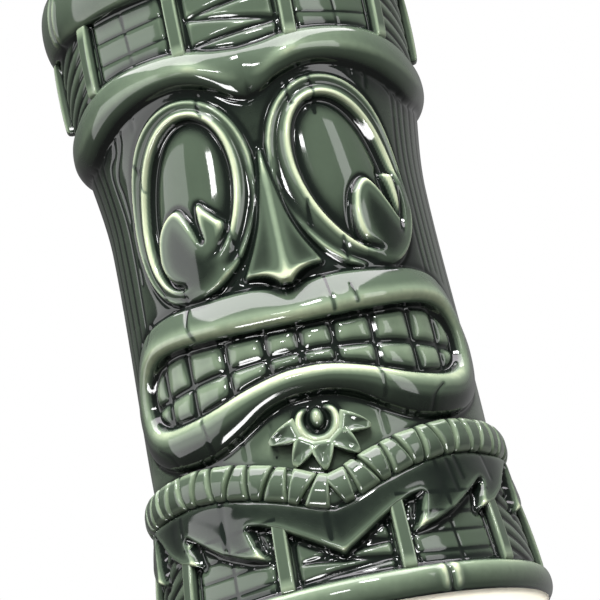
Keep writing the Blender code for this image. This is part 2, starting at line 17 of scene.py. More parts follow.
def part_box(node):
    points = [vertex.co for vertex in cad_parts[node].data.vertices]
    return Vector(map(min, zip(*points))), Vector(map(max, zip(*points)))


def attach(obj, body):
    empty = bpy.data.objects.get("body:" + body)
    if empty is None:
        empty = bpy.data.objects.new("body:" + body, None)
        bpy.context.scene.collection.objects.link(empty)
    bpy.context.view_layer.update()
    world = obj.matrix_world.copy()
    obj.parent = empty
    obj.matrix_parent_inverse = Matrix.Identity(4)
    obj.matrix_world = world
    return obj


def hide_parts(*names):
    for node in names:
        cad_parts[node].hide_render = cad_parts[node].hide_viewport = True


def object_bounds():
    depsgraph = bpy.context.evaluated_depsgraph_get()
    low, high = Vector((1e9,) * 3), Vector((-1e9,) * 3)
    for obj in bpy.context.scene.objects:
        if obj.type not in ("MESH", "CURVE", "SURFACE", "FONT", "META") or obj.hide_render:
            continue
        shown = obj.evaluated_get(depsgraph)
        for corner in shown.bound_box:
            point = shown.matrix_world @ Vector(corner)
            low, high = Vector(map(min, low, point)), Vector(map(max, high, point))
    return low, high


bl_info = {
    "name": "Tiki Mug",
    "version": (1, 0, 0),
    "blender": (4, 5, 0),
    "location": "View3D > Sidebar > Tiki Mug",
    "description": "Carves and glazes a stoneware tiki mug on its frame",
    "category": "Add Mesh",
}

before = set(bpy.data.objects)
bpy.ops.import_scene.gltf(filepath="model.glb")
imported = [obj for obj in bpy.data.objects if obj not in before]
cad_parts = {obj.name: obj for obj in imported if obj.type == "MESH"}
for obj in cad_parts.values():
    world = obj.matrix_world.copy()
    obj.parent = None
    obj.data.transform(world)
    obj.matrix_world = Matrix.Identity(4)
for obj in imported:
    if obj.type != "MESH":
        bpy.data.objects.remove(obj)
CAD_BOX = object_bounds()

MM = 0.001
BODY = "root"
HEIGHT = CAD_BOX[1].z / MM
FOOT_ROLL_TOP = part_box("foot_roll")[1].z / MM
RIM_ROLL_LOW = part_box("rim_roll")[0].z / MM
RIM_ROLL_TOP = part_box("rim_roll")[1].z / MM
FOOT_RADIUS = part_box("mug_body")[1].x / MM

# The turned wall, which the frame's cup has too
BELT_Z, BELT_RADIUS = 37.5, 39.3
EYE_Z, WAIST_RADIUS = 101.5, 37.6
HEAD_Z, HEAD_RADIUS = 135.0, 40.8
WALL = 4.5
FLOOR_Z = 6.0

# The flat pattern
PATTERN_RADIUS = 38.0
DEG = math.radians(1.0) * PATTERN_RADIUS  # mm on the pattern for each degree
COLUMNS = 900
ROW_STEP = 0.28
PATTERN_LOW, PATTERN_HIGH = 1.0, 162.6
FINE_ANGLE = 79.0  # degrees each side of the face with the full number of columns
BACK_STRIDE = 3  # behind, only every so many columns
TILE_DEPTH = 1.7  # how far a tile's hidden side lies under the turned wall
MELT = 0.38  # how far the glaze softens an edge
TURN_STEPS = 180  # sides of a turned piece


# --- The turned wall and the flat pattern ---


def smoothstep(value):
    value = np.clip(value, 0.0, 1.0)
    return value * value * (3.0 - 2.0 * value)


def wall_radius(z):
    """Outer radius of the turned wall at a height, before it is carved."""
    z = np.asarray(z, float)
    flare = np.clip((z - FOOT_ROLL_TOP) / (BELT_Z - FOOT_ROLL_TOP), 0.0, 1.0)
    waist = smoothstep((z - BELT_Z) / (EYE_Z - BELT_Z))
    head = smoothstep((z - EYE_Z) / (HEAD_Z - EYE_Z))
    radius = FOOT_RADIUS + flare * (BELT_RADIUS - FOOT_RADIUS)
    return radius + waist * (WAIST_RADIUS - BELT_RADIUS) + head * (HEAD_RADIUS - WAIST_RADIUS)


def smooth_line(points, closed=False, spans=8):
    """A Catmull-Rom curve through (degrees, height) points, as (x, z) points in mm."""
    points = [(angle * DEG, z) for angle, z in points]
    count = len(points)
    found = []
    for i in range(count if closed else count - 1):
        if closed:
            quad = [points[(i + k) % count] for k in (-1, 0, 1, 2)]
        else:
            quad = [points[min(max(i + k, 0), count - 1)] for k in (-1, 0, 1, 2)]
        a, b, c, d = (np.array(p) for p in quad)
        for t in np.arange(spans) / spans:
            line = 2 * b + (c - a) * t + (2 * a - 5 * b + 4 * c - d) * t**2
            found.append(0.5 * (line + (3 * b - a - 3 * c + d) * t**3))
    if not closed:
        found.append(np.array(points[-1]))
    return np.array(found)


def mirrored(half):
    """A closed outline from its right half, which starts and ends on the middle line."""
    return half + [(-angle, z) for angle, z in half[-2:0:-1]]


def from_line(line, x, z):
    """Distance from each place to a line of (x, z) points."""
    best = np.full(np.broadcast(x, z).shape, 1e9)
    for (x0, z0), (x1, z1) in zip(line[:-1], line[1:]):
        dx, dz = x1 - x0, z1 - z0
        share = np.clip(((x - x0) * dx + (z - z0) * dz) / (dx * dx + dz * dz + 1e-12), 0.0, 1.0)
        best = np.minimum(best, (x - x0 - share * dx) ** 2 + (z - z0 - share * dz) ** 2)
    return np.sqrt(best)


def depth_in(outline, x, z):
    """Distance from a closed outline, positive inside it."""
    odd = np.zeros(np.broadcast(x, z).shape, bool)
    ring = np.vstack([outline, outline[:1]])
    for (x0, z0), (x1, z1) in zip(ring[:-1], ring[1:]):
        if z0 != z1:
            odd ^= ((z0 > z) != (z1 > z)) & (x < x0 + (z - z0) * (x1 - x0) / (z1 - z0))
    return np.where(odd, 1.0, -1.0) * from_line(ring, x, z)


def ridge(distance, width):
    return np.exp(-((distance / width) ** 2))


def either(a, b, blend):
    """The higher of two surfaces, with a fillet where they meet."""
    return np.maximum(a, b) + np.maximum(blend - np.abs(a - b), 0.0) ** 2 / (4.0 * blend)


class Pattern:
    """The flat pattern: the relief in mm, and the ornament that each place belongs to."""

    def __init__(self):
        self.angle = -180.0 + 360.0 / COLUMNS * np.arange(COLUMNS)
        self.z = np.arange(PATTERN_LOW, PATTERN_HIGH + 0.5 * ROW_STEP, ROW_STEP)
        self.relief = np.zeros((len(self.z), COLUMNS))
        # ink: dark cut lines and joints, and painted shade, which deepen the glaze colour
        self.ink = np.zeros(self.relief.shape)
        self.part = np.full(self.relief.shape, "face_wall", dtype="U16")

    def window(self, left, right, low, high):
        """(slices, x, z) of the places between two angles and two heights."""
        columns = slice(*np.searchsorted(self.angle, (left, right)))
        rows = slice(*np.searchsorted(self.z, (low, high)))
        return (rows, columns), self.angle[None, columns] * DEG, self.z[rows, None]

    def blurred(self, values, width):
        """A Gaussian blur of that many mm, which joins round the back of the mug."""
        pad = int(4 * width / ROW_STEP) + 1
        padded = np.pad(values, ((pad, pad), (0, 0)), mode="edge")
        up = np.fft.fftfreq(padded.shape[0], ROW_STEP)[:, None]
        along = np.fft.rfftfreq(COLUMNS, 360.0 / COLUMNS * DEG)[None, :]
        keep = np.exp(-2.0 * (math.pi * width) ** 2 * (up**2 + along**2))
        smooth = np.fft.irfft2(np.fft.rfft2(padded) * keep, s=padded.shape)
        return smooth[pad:-pad]


# --- Outlines, as (degrees, height) ---

HEADBAND_LOW = [(0, 120.4), (5, 121.6), (12, 124.4), (22, 126.6), (33, 126.4), (45, 124.6), (57, 121.8)]
HEADBAND_LOW += [(68, 119.6), (80, 119.8), (110, 120.6), (145, 120.8), (180, 120.8)]
HEADBAND_TOP = [(0, 132.6), (8, 133.3), (18, 135.0), (32, 135.6), (48, 135.2), (60, 133.4), (72, 131.2)]
HEADBAND_TOP += [(84, 130.6), (110, 131.0), (145, 131.0), (180, 131.0)]
LIPS = mirrored(
    [(0, 76.2), (12, 77.4), (28, 78.0), (45, 78.0), (58, 76.7), (68, 72.8), (75, 66.5), (78, 60), (76.5, 54)]
    + [(71, 48.8), (62, 45), (52, 42.7), (42, 42.0), (33, 42.6), (24, 45), (15, 48.2), (7, 49.9), (0, 50.2)]
)
MOUTH = mirrored(
    [(0, 66.9), (15, 67.2), (30, 68.0), (45, 68.7), (54, 67.6), (60.5, 63.8), (62.3, 59.5), (60, 55.6)]
    + [(53.5, 53.0), (45, 52.3), (33, 53.0), (20, 55.2), (8, 56.9), (0, 57.2)]
)
NOSE = [(0.4, 109.5), (2.4, 103.5), (4.2, 98), (6.2, 92), (9, 87), (12.5, 82.6), (13.8, 80.2), (9, 79.3)]
NOSE += [(5, 78.0), (2.1, 75.6), (0.2, 73.2), (-1.8, 75.6), (-5, 78.0), (-9, 79.0), (-13.4, 79.6), (-12, 82)]
NOSE += [(-8.6, 87), (-5.8, 92), (-3.8, 98), (-1.8, 103.5)]
LID_LEFT = [(-37.5, 80.5), (-40.6, 85), (-41.8, 89.5), (-40.0, 95), (-35.8, 98.6), (-30.6, 99.6)]
LID_LEFT += [(-27.2, 95.8), (-24.0, 90.4), (-24.4, 95.5), (-23.8, 99.6), (-20.6, 97.5), (-17.6, 95.2)]
LID_LEFT += [(-16.0, 94.2), (-15.2, 92), (-14.8, 89), (-13.8, 86), (-11.5, 83), (-9, 80.5), (-12, 77)]
LID_LEFT += [(-22, 74), (-34, 74)]
LID_RIGHT = [(29.2, 82.6), (27.2, 87), (26.8, 91), (28.0, 95.2), (30.6, 97.9), (33.8, 98.9), (37.4, 96.9)]
LID_RIGHT += [(41.2, 93.4), (45.2, 89.8), (43.4, 94.6), (41.8, 99.8), (45.2, 100.2), (49.2, 101.0)]
LID_RIGHT += [(54, 100.0), (59, 91), (61, 84), (54, 75), (44, 73), (34, 73), (30, 78)]
LEAVES = [(0, 13.0), (6, 15.9), (12, 18.8), (18, 21.6), (23, 23.3), (27, 24.0), (25.2, 20), (22.4, 15.6)]
LEAVES += [(30, 17.2), (38, 19.8), (45, 23.2), (52, 26.5), (49.6, 23), (47.6, 19.2), (56, 21.0), (63, 24.2)]
LEAVES += [(69, 28.2), (76, 31.5), (74, 25), (72, 19.5)]
LEAF_PITCH = 25.7  # degrees between the leaves that go on round the back
BELT_LINE = [(0, 28.0), (5, 29.0), (12, 31.2), (22, 33.8), (33, 35.9), (46, 37.3), (60, 37.6), (75, 37.5)]
BELT_LINE += [(90, 37.5)]
BELT_HALF_WIDTH = 3.9
TOOTH_JOINTS = (0.0, 11.5, 25.5, 40.5, 52.5, 61.5)
FLOWER = (0.4, 44.2)
# Ovals of the eyes, by the side of the face: degrees, height, half width, half height and lean
EYE_OUTER = {-1: (28.2, 101.0, 17.0, 23.8, 13.0), 1: (28.6, 100.7, 17.2, 24.1, 15.0)}
EYE_INNER = {-1: (27.9, 100.6, 10.8, 19.2, 15.0), 1: (29.9, 100.1, 10.8, 19.2, 20.0)}
EYE_DOME = {-1: (26.8, 100.8, 9.9, 18.8, 14.0), 1: (28.9, 100.4, 9.9, 18.6, 19.0)}
OVAL_POINTS = 72
# The bands of panels: degrees from one panel and from one batten to the next, and the first batten
PANEL_ANGLE = 36.0
FIRST_BATTEN = 18.0
LOWER_PLANKS = (10.8, 15.4, 19.6, 24.0)
UPPER_PLANKS = (139.0, 144.4, 149.4)
FAN_PITCH = 3.9
FAN_SLOPE = 0.42
LOWER_ZIGZAG = [(-9, 17.4), (15, 14.9), (-13, 13.5), (15.5, 10.9), (-15, 9.0)]
UPPER_ZIGZAG = [(-14, 149.4), (16, 146.2), (-15, 141.8), (17, 138.2), (-13, 135.2)]
# Bamboo nodes of the two rolls: degrees and lean
FOOT_NODES = ((28.5, 0.0), (-118.0, 0.1), (150.0, -0.1))
RIM_NODES = ((-67.0, 0.35), (62.0, -0.2), (165.0, 0.2))
# Painted shade over some parts: how much, and from which height up
PAINTED_SHADE = {"face_wall": (0.45, 54.0), "back_wall": (0.45, 54.0), "leaf_skirt": (0.95, 8.0)}
PAINTED_SHADE |= {f"{part}_{side}": (0.3, 8.0) for part in ("eyeball", "lower_lid") for side in ("left", "right")}
PAINTED_SHADE["nose"] = (0.3, 8.0)
# Long upright cuts in the wall beside the face, and short splits in the ornaments
FACE_GRAIN = [
    [(-77, 48), (-76.5, 84), (-77, 121)],
    [(-70, 47), (-70.5, 80), (-70, 121)],
    [(-65.5, 48), (-65, 90), (-65.5, 116), (-61, 120), (-60.5, 125)],
    [(-60, 78), (-59.5, 100), (-60.5, 115), (-54, 119.5), (-53, 126)],
    [(-57, 88), (-56.8, 108), (-57, 114), (-50, 120.5), (-49.5, 126)],
    [(-44, 119), (-42, 122), (-41.5, 127)],
    [(57.5, 78), (57, 100), (57.5, 118), (54.5, 122)],
    [(61, 78), (61, 118), (58, 122)],
    [(65.5, 78), (65, 120)],
    [(70, 76), (70.5, 121)],
    [(77, 60), (77, 121)],
    [(43.5, 120), (44, 126)],
    [(38, 123.5), (38, 127)],
    [(-25, 40), (-25, 44)],
    [(-15, 38.5), (-15, 46)],
    [(22, 39.5), (21.5, 44.5)],
]
CRACKS = [
    [(-57, 78), (-55.5, 75.5), (-55.5, 73)],
    [(-35.5, 78), (-35, 73), (-33.5, 69.5)],
    [(12.5, 77), (12.6, 73), (13, 68.5)],
    [(20, 74), (20.8, 69.5)],
    [(61, 75), (62, 73.5), (63.5, 72)],
    [(-36, 51), (-35, 47.5), (-35.5, 43.5)],
    [(-57, 48.5), (-52, 46), (-51, 42.5)],
    [(44.5, 49), (40.5, 46.5), (39.5, 42.5)],
    [(22.5, 54), (23.5, 50.5), (23, 47)],
    [(-16, 124.6), (-16.6, 121), (-15.6, 118.5)],
    [(-45.5, 114), (-44, 110), (-43, 107)],
    [(13.5, 123), (13, 120), (14, 117.5)],
    [(21, 124), (21.6, 119), (21.5, 115)],
    [(-46, 86), (-44, 82), (-43.6, 80)],
    [(-35, 83), (-34.6, 79)],
    [(12.5, 95), (12.4, 89)],
    [(22, 85.5), (22.4, 80)],
    [(-36, 32), (-35.5, 25), (-34.5, 19)],
    [(-55, 32), (-53.5, 27)],
    [(-3, 23), (-3, 17)],
    [(40, 31.5), (40.5, 24)],
    [(43.5, 32), (44, 27)],
    [(57.5, 33), (58, 27)],
    [(-14.8, 93), (-14, 87), (-12.6, 83)],
]


def level(points, angle):
    """Height of a left-right symmetric line at each angle, from its right half."""
    line = smooth_line(points)
    return np.interp(np.abs(angle), line[:, 0] / DEG, line[:, 1])


def bite(x):
    """Height of the line where the upper and lower teeth meet."""
    return 61.0 - 1.6 * (x / (50.0 * DEG)) ** 2


def past_crest(share, crest):
    """-1 at one edge of a roll, 0 on its crest and 1 at its other edge, from the share of its width."""
    return np.where(share < crest, (share - crest) / crest, (share - crest) / (1.0 - crest))


def eye_oval(side, oval):
    """A leaning oval of one eye, as (x, z) points."""
    angle, height, half_width, half_height, lean = oval[side]
    lean = math.radians(lean)
    turn = np.linspace(0.0, 2.0 * math.pi, OVAL_POINTS, endpoint=False)
    across = half_width * np.cos(turn)
    up = half_height * np.sin(turn)
    x = angle * DEG + across * math.cos(lean) - up * math.sin(lean)
    z = height + across * math.sin(lean) + up * math.cos(lean)
    return np.stack([side * x, z], axis=1)


def oval_dome(side, oval, x, z, power):
    """The height of a dome over a leaning oval: 1 in its middle and 0 on its edge."""
    angle, height, half_width, half_height, lean = oval[side]
    lean = math.radians(lean)
    right = side * x - angle * DEG
    up = z - height
    across = right * math.cos(lean) + up * math.sin(lean)
    along = up * math.cos(lean) - right * math.sin(lean)
    return np.maximum(1.0 - (across / half_width) ** 2 - (along / half_height) ** 2, 0.0) ** power


# --- The carving, ornament by ornament ---


def carve_rolls(pattern):
    """The bamboo rolls of the rim and the foot."""
    for name, low, high, proud in (
        ("rim_roll", RIM_ROLL_LOW, RIM_ROLL_TOP, 2.9),
        ("foot_roll", 0.7, FOOT_ROLL_TOP, 2.8),
    ):
        at, x, z = pattern.window(-181, 181, low, high)
        share = (z - 0.5 * (low + high)) / (0.5 * (high - low))
        pattern.relief[at] = proud * np.maximum(1.0 - share**2, 0.0) ** 0.38 + 0.0 * x
        pattern.part[at] = name


def roll_joint(pattern, angle, low, high, lean):
    """A bamboo node across a roll: two raised lips with a cut between them."""
    at, x, z = pattern.window(angle - 9, angle + 9, low, high)
    middle = 0.5 * (low + high)
    across = x - angle * DEG - lean * (z - middle)
    share = np.clip(1.0 - ((z - middle) / (0.5 * (high - low))) ** 2, 0.0, 1.0) ** 0.5
    lips = 0.7 * ridge(across - 1.3, 0.8) + 0.6 * ridge(across + 1.3, 0.8) - 0.9 * ridge(across, 0.45)
    pattern.relief[at] += share * lips


def plank_cuts(across, z, low, rows):
    """The thin cuts of a panel of crosswise planks, across being measured from the panel's middle."""
    cuts = [ridge(z - height - 0.004 * across**2, 0.36) for height in rows]
    cuts.append(ridge(across - 0.5 + 0.05 * (z - low), 0.34))
    return 0.28 * np.max(cuts, axis=0)


def zigzag_cuts(line, across, z):
    """The slanting cuts of a front panel, which widen to the right."""
    points = [(angle * DEG, height) for angle, height in line]
    reach = 0.32 + 0.35 * smoothstep(0.5 + 0.5 * across / (15 * DEG))
    cuts = [ridge(from_line(np.array(ends), across, z), reach) for ends in zip(points[:-1], points[1:])]
    return np.max(cuts, axis=0)


def carve_frieze(pattern, name, low, high, rows, zigzag):
    """A band of panels between battens: planks laid crosswise, a leaning fan, or a slanting zigzag."""
    at, x, z = pattern.window(-181, 181, low, high)
    angle = x / DEG
    panel = np.round(angle / PANEL_ANGLE)
    across = (angle - PANEL_ANGLE * panel) * DEG
    crossed = (panel % 2 == 1) * plank_cuts(across, z, low, rows)
    fan = (panel % 2 == 0) & (panel != 0)
    planks = (z - low + np.sign(angle) * FAN_SLOPE * across) / FAN_PITCH
    away = np.abs(planks - np.round(planks)) * FAN_PITCH / math.hypot(1.0, FAN_SLOPE)
    front = (panel == 0) * zigzag_cuts(zigzag, across, z)
    turn = angle - FIRST_BATTEN
    beside = np.abs(turn - PANEL_ANGLE * np.round(turn / PANEL_ANGLE)) * DEG - 2.1
    groove = np.max([crossed, fan * ridge(away, 0.36), front, 1.1 * ridge(beside, 0.45) + 0.0 * z], axis=0)
    cushion = 0.25 * (1.0 - ridge(away, 1.4)) * fan
    pattern.relief[at] = cushion - groove
    pattern.ink[at] = 2.6 * crossed
    pattern.part[at] = name


def carve_headband(pattern):
    """The band over the eyes, arched over each of them and creased between the brows."""
    at, x, z = pattern.window(-181, 181, 115, 139)
    angle = x / DEG
    low = level(HEADBAND_LOW, angle)
    high = level(HEADBAND_TOP, angle)
    share = np.clip((z - low) / (high - low), 0.0, 1.0)
    roll = np.maximum(1.0 - np.abs(past_crest(share, 0.40)) ** 1.7, 0.0) ** 0.62
    proud = 3.0 - 0.9 * smoothstep((np.abs(angle) - 60) / 30)
    roll = proud * roll - 1.9 * (1.0 - share) * roll * np.exp(-np.abs(x - 0.4) / 3.4)
    roll += 0.5 * ridge(np.abs(angle) - 15, 5) * ridge(share - 0.45, 0.2)
    within = (z > low) & (z < high)
    pattern.relief[at] = np.where(within, either(roll, 0.0 * roll, 0.25), pattern.relief[at])
    pattern.relief[at] -= 0.35 * ridge(z - low + 0.2, 0.5) + 0.3 * ridge(z - high - 0.2, 0.4)
    # painted shade on the lower, downward-facing part of the band, below its crest
    pattern.ink[at] = 0.8 * within * smoothstep((0.38 - share) / 0.3)
    pattern.part[at] = np.where(within, "headband", pattern.part[at])


def ring_and_ball(side, depth, within, x, z):
    """The two raised lips of an eye's ring, and the domed eyeball in its groove."""
    ring = 0.8 * smoothstep(depth / 1.0) + 0.6 * ridge(depth - 0.9, 0.6) - 0.25 * ridge(depth - 2.6, 0.9)
    ring += 1.45 * np.exp(-((np.minimum(within + 1.1, 0.0) / 1.25) ** 2))
    ring -= (ring + 0.5) * smoothstep((within + 0.7) / 1.0)
    ball = 2.8 * oval_dome(side, EYE_DOME, x, z, 0.62) - 0.5
    return np.where(within > 0.0, np.maximum(ring, ball), ring)


def with_lid(surface, side, depth, within, cover, x, z):
    """An eye under its lid, whose edge is crisp on the eyeball and melts into the ring."""
    lid = 1.0 + 2.9 * oval_dome(side, EYE_OUTER, x, z, 0.5) + 0.3 * ridge(cover - 0.55, 0.45)
    lid += 0.4 * ridge(depth - 0.8, 0.6)
    inner = smoothstep((within + 0.4) / 2.2)
    surface = surface - 0.5 * ridge(cover + 0.5, 0.5) * inner
    edge = inner * smoothstep((cover + 0.25) / 1.1)
    edge += (1.0 - inner) * smoothstep((cover + 0.3) / 5.5)
    return surface + (lid - surface) * edge * smoothstep((depth + 0.3) / 1.3)


def carve_eye(pattern, side, lid):
    """A ring round a domed eyeball, with the carved lid over both."""
    left, right = sorted((0.0, side * 58.0))
    at, x, z = pattern.window(left - 1, right + 1, 75, 127)
    depth = depth_in(eye_oval(side, EYE_OUTER), x, z)
    within = depth_in(eye_oval(side, EYE_INNER), x, z)
    cover = depth_in(smooth_line(lid, closed=True, spans=5), x, z)
    surface = with_lid(ring_and_ball(side, depth, within, x, z), side, depth, within, cover, x, z)
    surface = np.where(depth > -0.15, surface, 0.0) - 0.45 * ridge(depth + 0.45, 0.5)
    near = depth > -2.0
    pattern.relief[at] = np.where(near, either(surface, pattern.relief[at] - 0.4, 0.3), pattern.relief[at])
    # painted shade, deeper towards the middle of the eye and its lid
    painted_eye_shade = smoothstep((np.minimum(cover, depth) - 0.8) / 4.0)
    pattern.ink[at] = np.where(near, 0.6 * painted_eye_shade, pattern.ink[at])
    where = "left" if side < 0 else "right"
    parts = np.where(within > 0.2, f"eyeball_{where}", f"eye_ring_{where}")
    parts = np.where((cover > 0.0) & (depth > 1.0), f"lower_lid_{where}", parts)
    pattern.part[at] = np.where(depth > 0.0, parts, pattern.part[at])


def carve_nose(pattern):
    """A ridged wedge, narrow between the eyes and flared at the nostrils, with painted shade on its flanks.
    """
    at, x, z = pattern.window(-17, 17, 72, 114)
    depth = depth_in(smooth_line(NOSE, closed=True, spans=4), x, z)
    fall = np.clip((111.0 - z) / 32.0, 0.0, 1.2)
    half = 1.4 + 8.0 * fall
    side = np.sqrt((x - 0.3) ** 2 + 0.3**2) / half
    surface = (0.9 + 4.6 * fall) * (1.0 - 0.80 * np.minimum(side, 1.25) ** 0.8)
    surface += 0.35 * ridge(depth - 0.8, 0.6) * smoothstep((86 - z) / 6)
    surface = surface * smoothstep((depth + 0.1) / 0.9) - 0.6 * ridge(depth + 0.6, 0.6)
    near = depth > -1.4
    pattern.relief[at] = np.where(near, either(surface, pattern.relief[at] - 0.3, 0.3), pattern.relief[at])
    pattern.part[at] = np.where(depth > 0.0, "nose", pattern.part[at])
    # painted shade on the nose's flanks, leaving its ridge and edges paler
    painted_flank_shade = smoothstep((side - 0.1) / 0.35) * smoothstep((1.15 - side) / 0.35)
    pattern.ink[at] = np.where(depth > 0.4, 0.4 * painted_flank_shade, pattern.ink[at])


def lip_roll(share, upper):
    """The lips' height, 1 on their crest and flatter above the mouth, and each place past the crest."""
    past = past_crest(share, 0.30)
    roll = np.maximum(1.0 - past**2, 0.0) ** np.where(past < 0.0, 0.5, 0.62)
    facet = 1.0 - 0.80 * np.maximum(past, 0.0) ** 1.35
    facet *= 1.0 - smoothstep((past - 0.93) / 0.07)
    return roll + (facet - roll) * upper * (past > 0.0), past


def tooth_rows(x, z, opening):
    """Relief and glaze of the two rows of teeth: pale pillows between dark joints."""
    joint = np.min([np.abs(x / DEG - s * j) * DEG for j in TOOTH_JOINTS for s in (-1, 1)], axis=0)
    gaps = (joint - 0.12, np.abs(z - bite(x)) - 0.12, -opening - 0.3)
    inset = -np.log(sum(np.exp(-2.0 * gap) for gap in gaps)) / 2.0
    inside = np.maximum(inset, 0.0)
    relief = 1.1 * (1.0 - np.exp(-inside / 0.7)) + 0.35 * smoothstep(inset / 3.0) - 0.5
    return relief, 1.3 * np.exp(-inside / 0.4) - 0.35


def carve_mouth(pattern):
    """The roll of the lips, and the rows of teeth set back in it."""
    at, x, z = pattern.window(-82, 82, 39, 80)
    outer = depth_in(smooth_line(LIPS, closed=True, spans=4), x, z)
    opening = -depth_in(smooth_line(MOUTH, closed=True, spans=4), x, z)
    share = np.clip(opening / np.maximum(opening + np.maximum(outer, 0.0), 1e-6), 0.0, 1.0)
    upper = smoothstep((z - 60.0) / 6.0)
    roll, past = lip_roll(share, upper)
    muzzle = 3.7 - 1.9 * smoothstep((np.abs(x) / DEG - 50) / 26)
    on_lips = (outer > 0.0) & (opening > 0.0)
    before = pattern.relief[at]
    lips = np.where(on_lips, either(muzzle * roll, np.minimum(before, 0.0), 0.3), before)
    lips = lips - 0.4 * ridge(outer + 0.4, 0.5)
    on_teeth = opening <= 0.0
    teeth, joints = tooth_rows(x, z, opening)
    pattern.relief[at] = np.where(on_teeth, teeth, lips)
    # painted shade on the outer, downward side of the lower lip
    shaded = 1.1 * on_lips * (1.0 - upper) * smoothstep((past - 0.05) / 0.5)
    pattern.ink[at] = shaded + on_teeth * joints
    pattern.part[at] = np.where(on_lips, "lips", pattern.part[at])
    rows = np.where(z - bite(x) > 0.0, "upper_teeth", "lower_teeth")
    pattern.part[at] = np.where(on_teeth, rows, pattern.part[at])


def carve_flower(pattern):
    """The flower's centre: a crescent cup, open at the top, round an oval bead."""
    at, x, z = pattern.window(-12, 12, 36, 52)
    right, up = x - FLOWER[0] * DEG, z - FLOWER[1]
    reach = np.hypot(right, up * 0.92)
    rim = 1.45 - 0.16 * np.maximum(up + 1.0, 0.0)
    crescent = 2.3 * np.maximum(1.0 - ((reach - 4.0) / np.maximum(rim, 0.3)) ** 2, 0.0) ** 0.5
    crescent *= 1.0 - smoothstep((up - 2.2) / 2.2)
    bead = np.hypot(right / 1.65, (up - 0.9) / 2.5)
    bead = 2.1 * np.maximum(1.0 - bead**2, 0.0) ** 0.5
    flower = np.maximum(crescent, bead)
    base = pattern.relief[at] - 0.5 * ridge(reach - 2.2, 0.8) * (up < 4.5)
    pattern.relief[at] = either(flower - 0.2, base, 0.25)
    pattern.part[at] = np.where((reach < 5.8) & (up < 5.2), "flower_cup", pattern.part[at])
    pattern.ink[at] += 0.45 * (pattern.part[at] == "flower_cup")


def leaf_line():
    """The leaves' lower edge all round, as (x, z) points with sharp tips and notches."""
    right = list(LEAVES)
    for leaf in range(3, 7):
        start = leaf * LEAF_PITCH - 5.0
        end = start + LEAF_PITCH
        right += [(start + 8, 21.5), (start + 16, 25.2), (end - 0.5, 29.0)]
        if leaf < 6:
            right += [(end - 2.6, 24.5), (end - 4.6, 19.8)]
    right = [point for point in right if point[0] < 176] + [(180, 25.5)]
    line = [(-angle, z) for angle, z in right[:0:-1]] + right
    return np.array([(angle * DEG, z) for angle, z in line])


def carve_skirt(pattern):
    """The leaf skirt: a smooth sheet from the belt to its pointed edge, with a worn rim."""
    at, x, z = pattern.window(-181, 181, 9, 40)
    line = leaf_line()
    top = [(180.0 * DEG, 60.0), (-180.0 * DEG, 60.0)]
    depth = depth_in(np.vstack([line, top]), x, z)
    belt = level(BELT_LINE, np.minimum(np.abs(x) / DEG, 89.0))
    on = (depth > 0.0) & (z < belt)
    sheet = 2.0 * smoothstep((depth + 0.1) / 0.9) + 0.18 * ridge(depth - 0.8, 0.55)
    sheet -= 0.45 * smoothstep((depth - 2.0) / 6.0)
    before = pattern.relief[at]
    sheet = either(sheet, before, 0.3)
    pattern.relief[at] = np.where(on, sheet, before - 0.5 * ridge(depth + 0.5, 0.6) * (z < belt))
    pattern.part[at] = np.where(on, "leaf_skirt", pattern.part[at])


def carve_belt(pattern):
    """The core that the belt's wedges sit on."""
    at, x, z = pattern.window(-181, 181, 21, 44)
    middle = level(BELT_LINE, np.minimum(np.abs(x) / DEG, 89.0))
    away = np.abs(z - middle)
    core = 1.3 * np.maximum(1.0 - (away / BELT_HALF_WIDTH) ** 2, 0.0) ** 0.5
    on = away < BELT_HALF_WIDTH
    before = np.where(on, core, pattern.relief[at])
    pattern.relief[at] = before - 0.3 * ridge(away - BELT_HALF_WIDTH - 0.2, 0.5)
    pattern.part[at] = np.where(on, "belt_core", pattern.part[at])


def carve_line(pattern, points, width, depth):
    """One knife cut along (degrees, height) points."""
    angles = [p[0] for p in points]
    heights = [p[1] for p in points]
    at, x, z = pattern.window(min(angles) - 3, max(angles) + 3, min(heights) - 2, max(heights) + 2)
    away = from_line(smooth_line(points, spans=4), x, z)
    cut = depth * ridge(away, width)
    pattern.relief[at] -= 0.4 * cut
    pattern.ink[at] = np.maximum(pattern.ink[at], 1.6 * cut)


def carve_grain(pattern):
    """Long upright cuts, as the grain of a post, beside the face and all over the back."""
    for cut in FACE_GRAIN:
        carve_line(pattern, cut, 0.34, 0.75)
    rng = np.random.default_rng(11)
    angle = 84.0
    while angle < 276.0:
        low = 43.0 + rng.uniform(0.0, 14.0) * (rng.random() < 0.5)
        high = 119.5 - rng.uniform(0.0, 22.0) * (rng.random() < 0.4)
        heights = np.linspace(low, high, 6)
        sway = np.cumsum(rng.normal(0.0, 0.35, 6))
        turned = (angle + 180.0) % 360.0 - 180.0
        carve_line(pattern, [(turned + s, z) for s, z in zip(sway, heights)], 0.45, rng.uniform(0.5, 0.85))
        angle += rng.uniform(4.0, 9.0)


def label_back(pattern):
    """Gives the wall behind the mug a name of its own."""
    behind = np.abs(pattern.angle)[None, :] > 90.0
    pattern.part[(pattern.part == "face_wall") & behind] = "back_wall"


def shade_parts(pattern):
    """Paints shade over some parts, and makes the wall under the mouth paler."""
    z = pattern.z[:, None]
    for name, (shade, low) in PAINTED_SHADE.items():
        # painted shade over the listed parts, from a height up
        pattern.ink += shade * (pattern.part == name) * smoothstep((z - low + 4.0) / 8.0)
    # the wall under the mouth made paler
    pattern.ink -= 0.55 * (pattern.part == "face_wall") * smoothstep((52.0 - z) / 8.0)


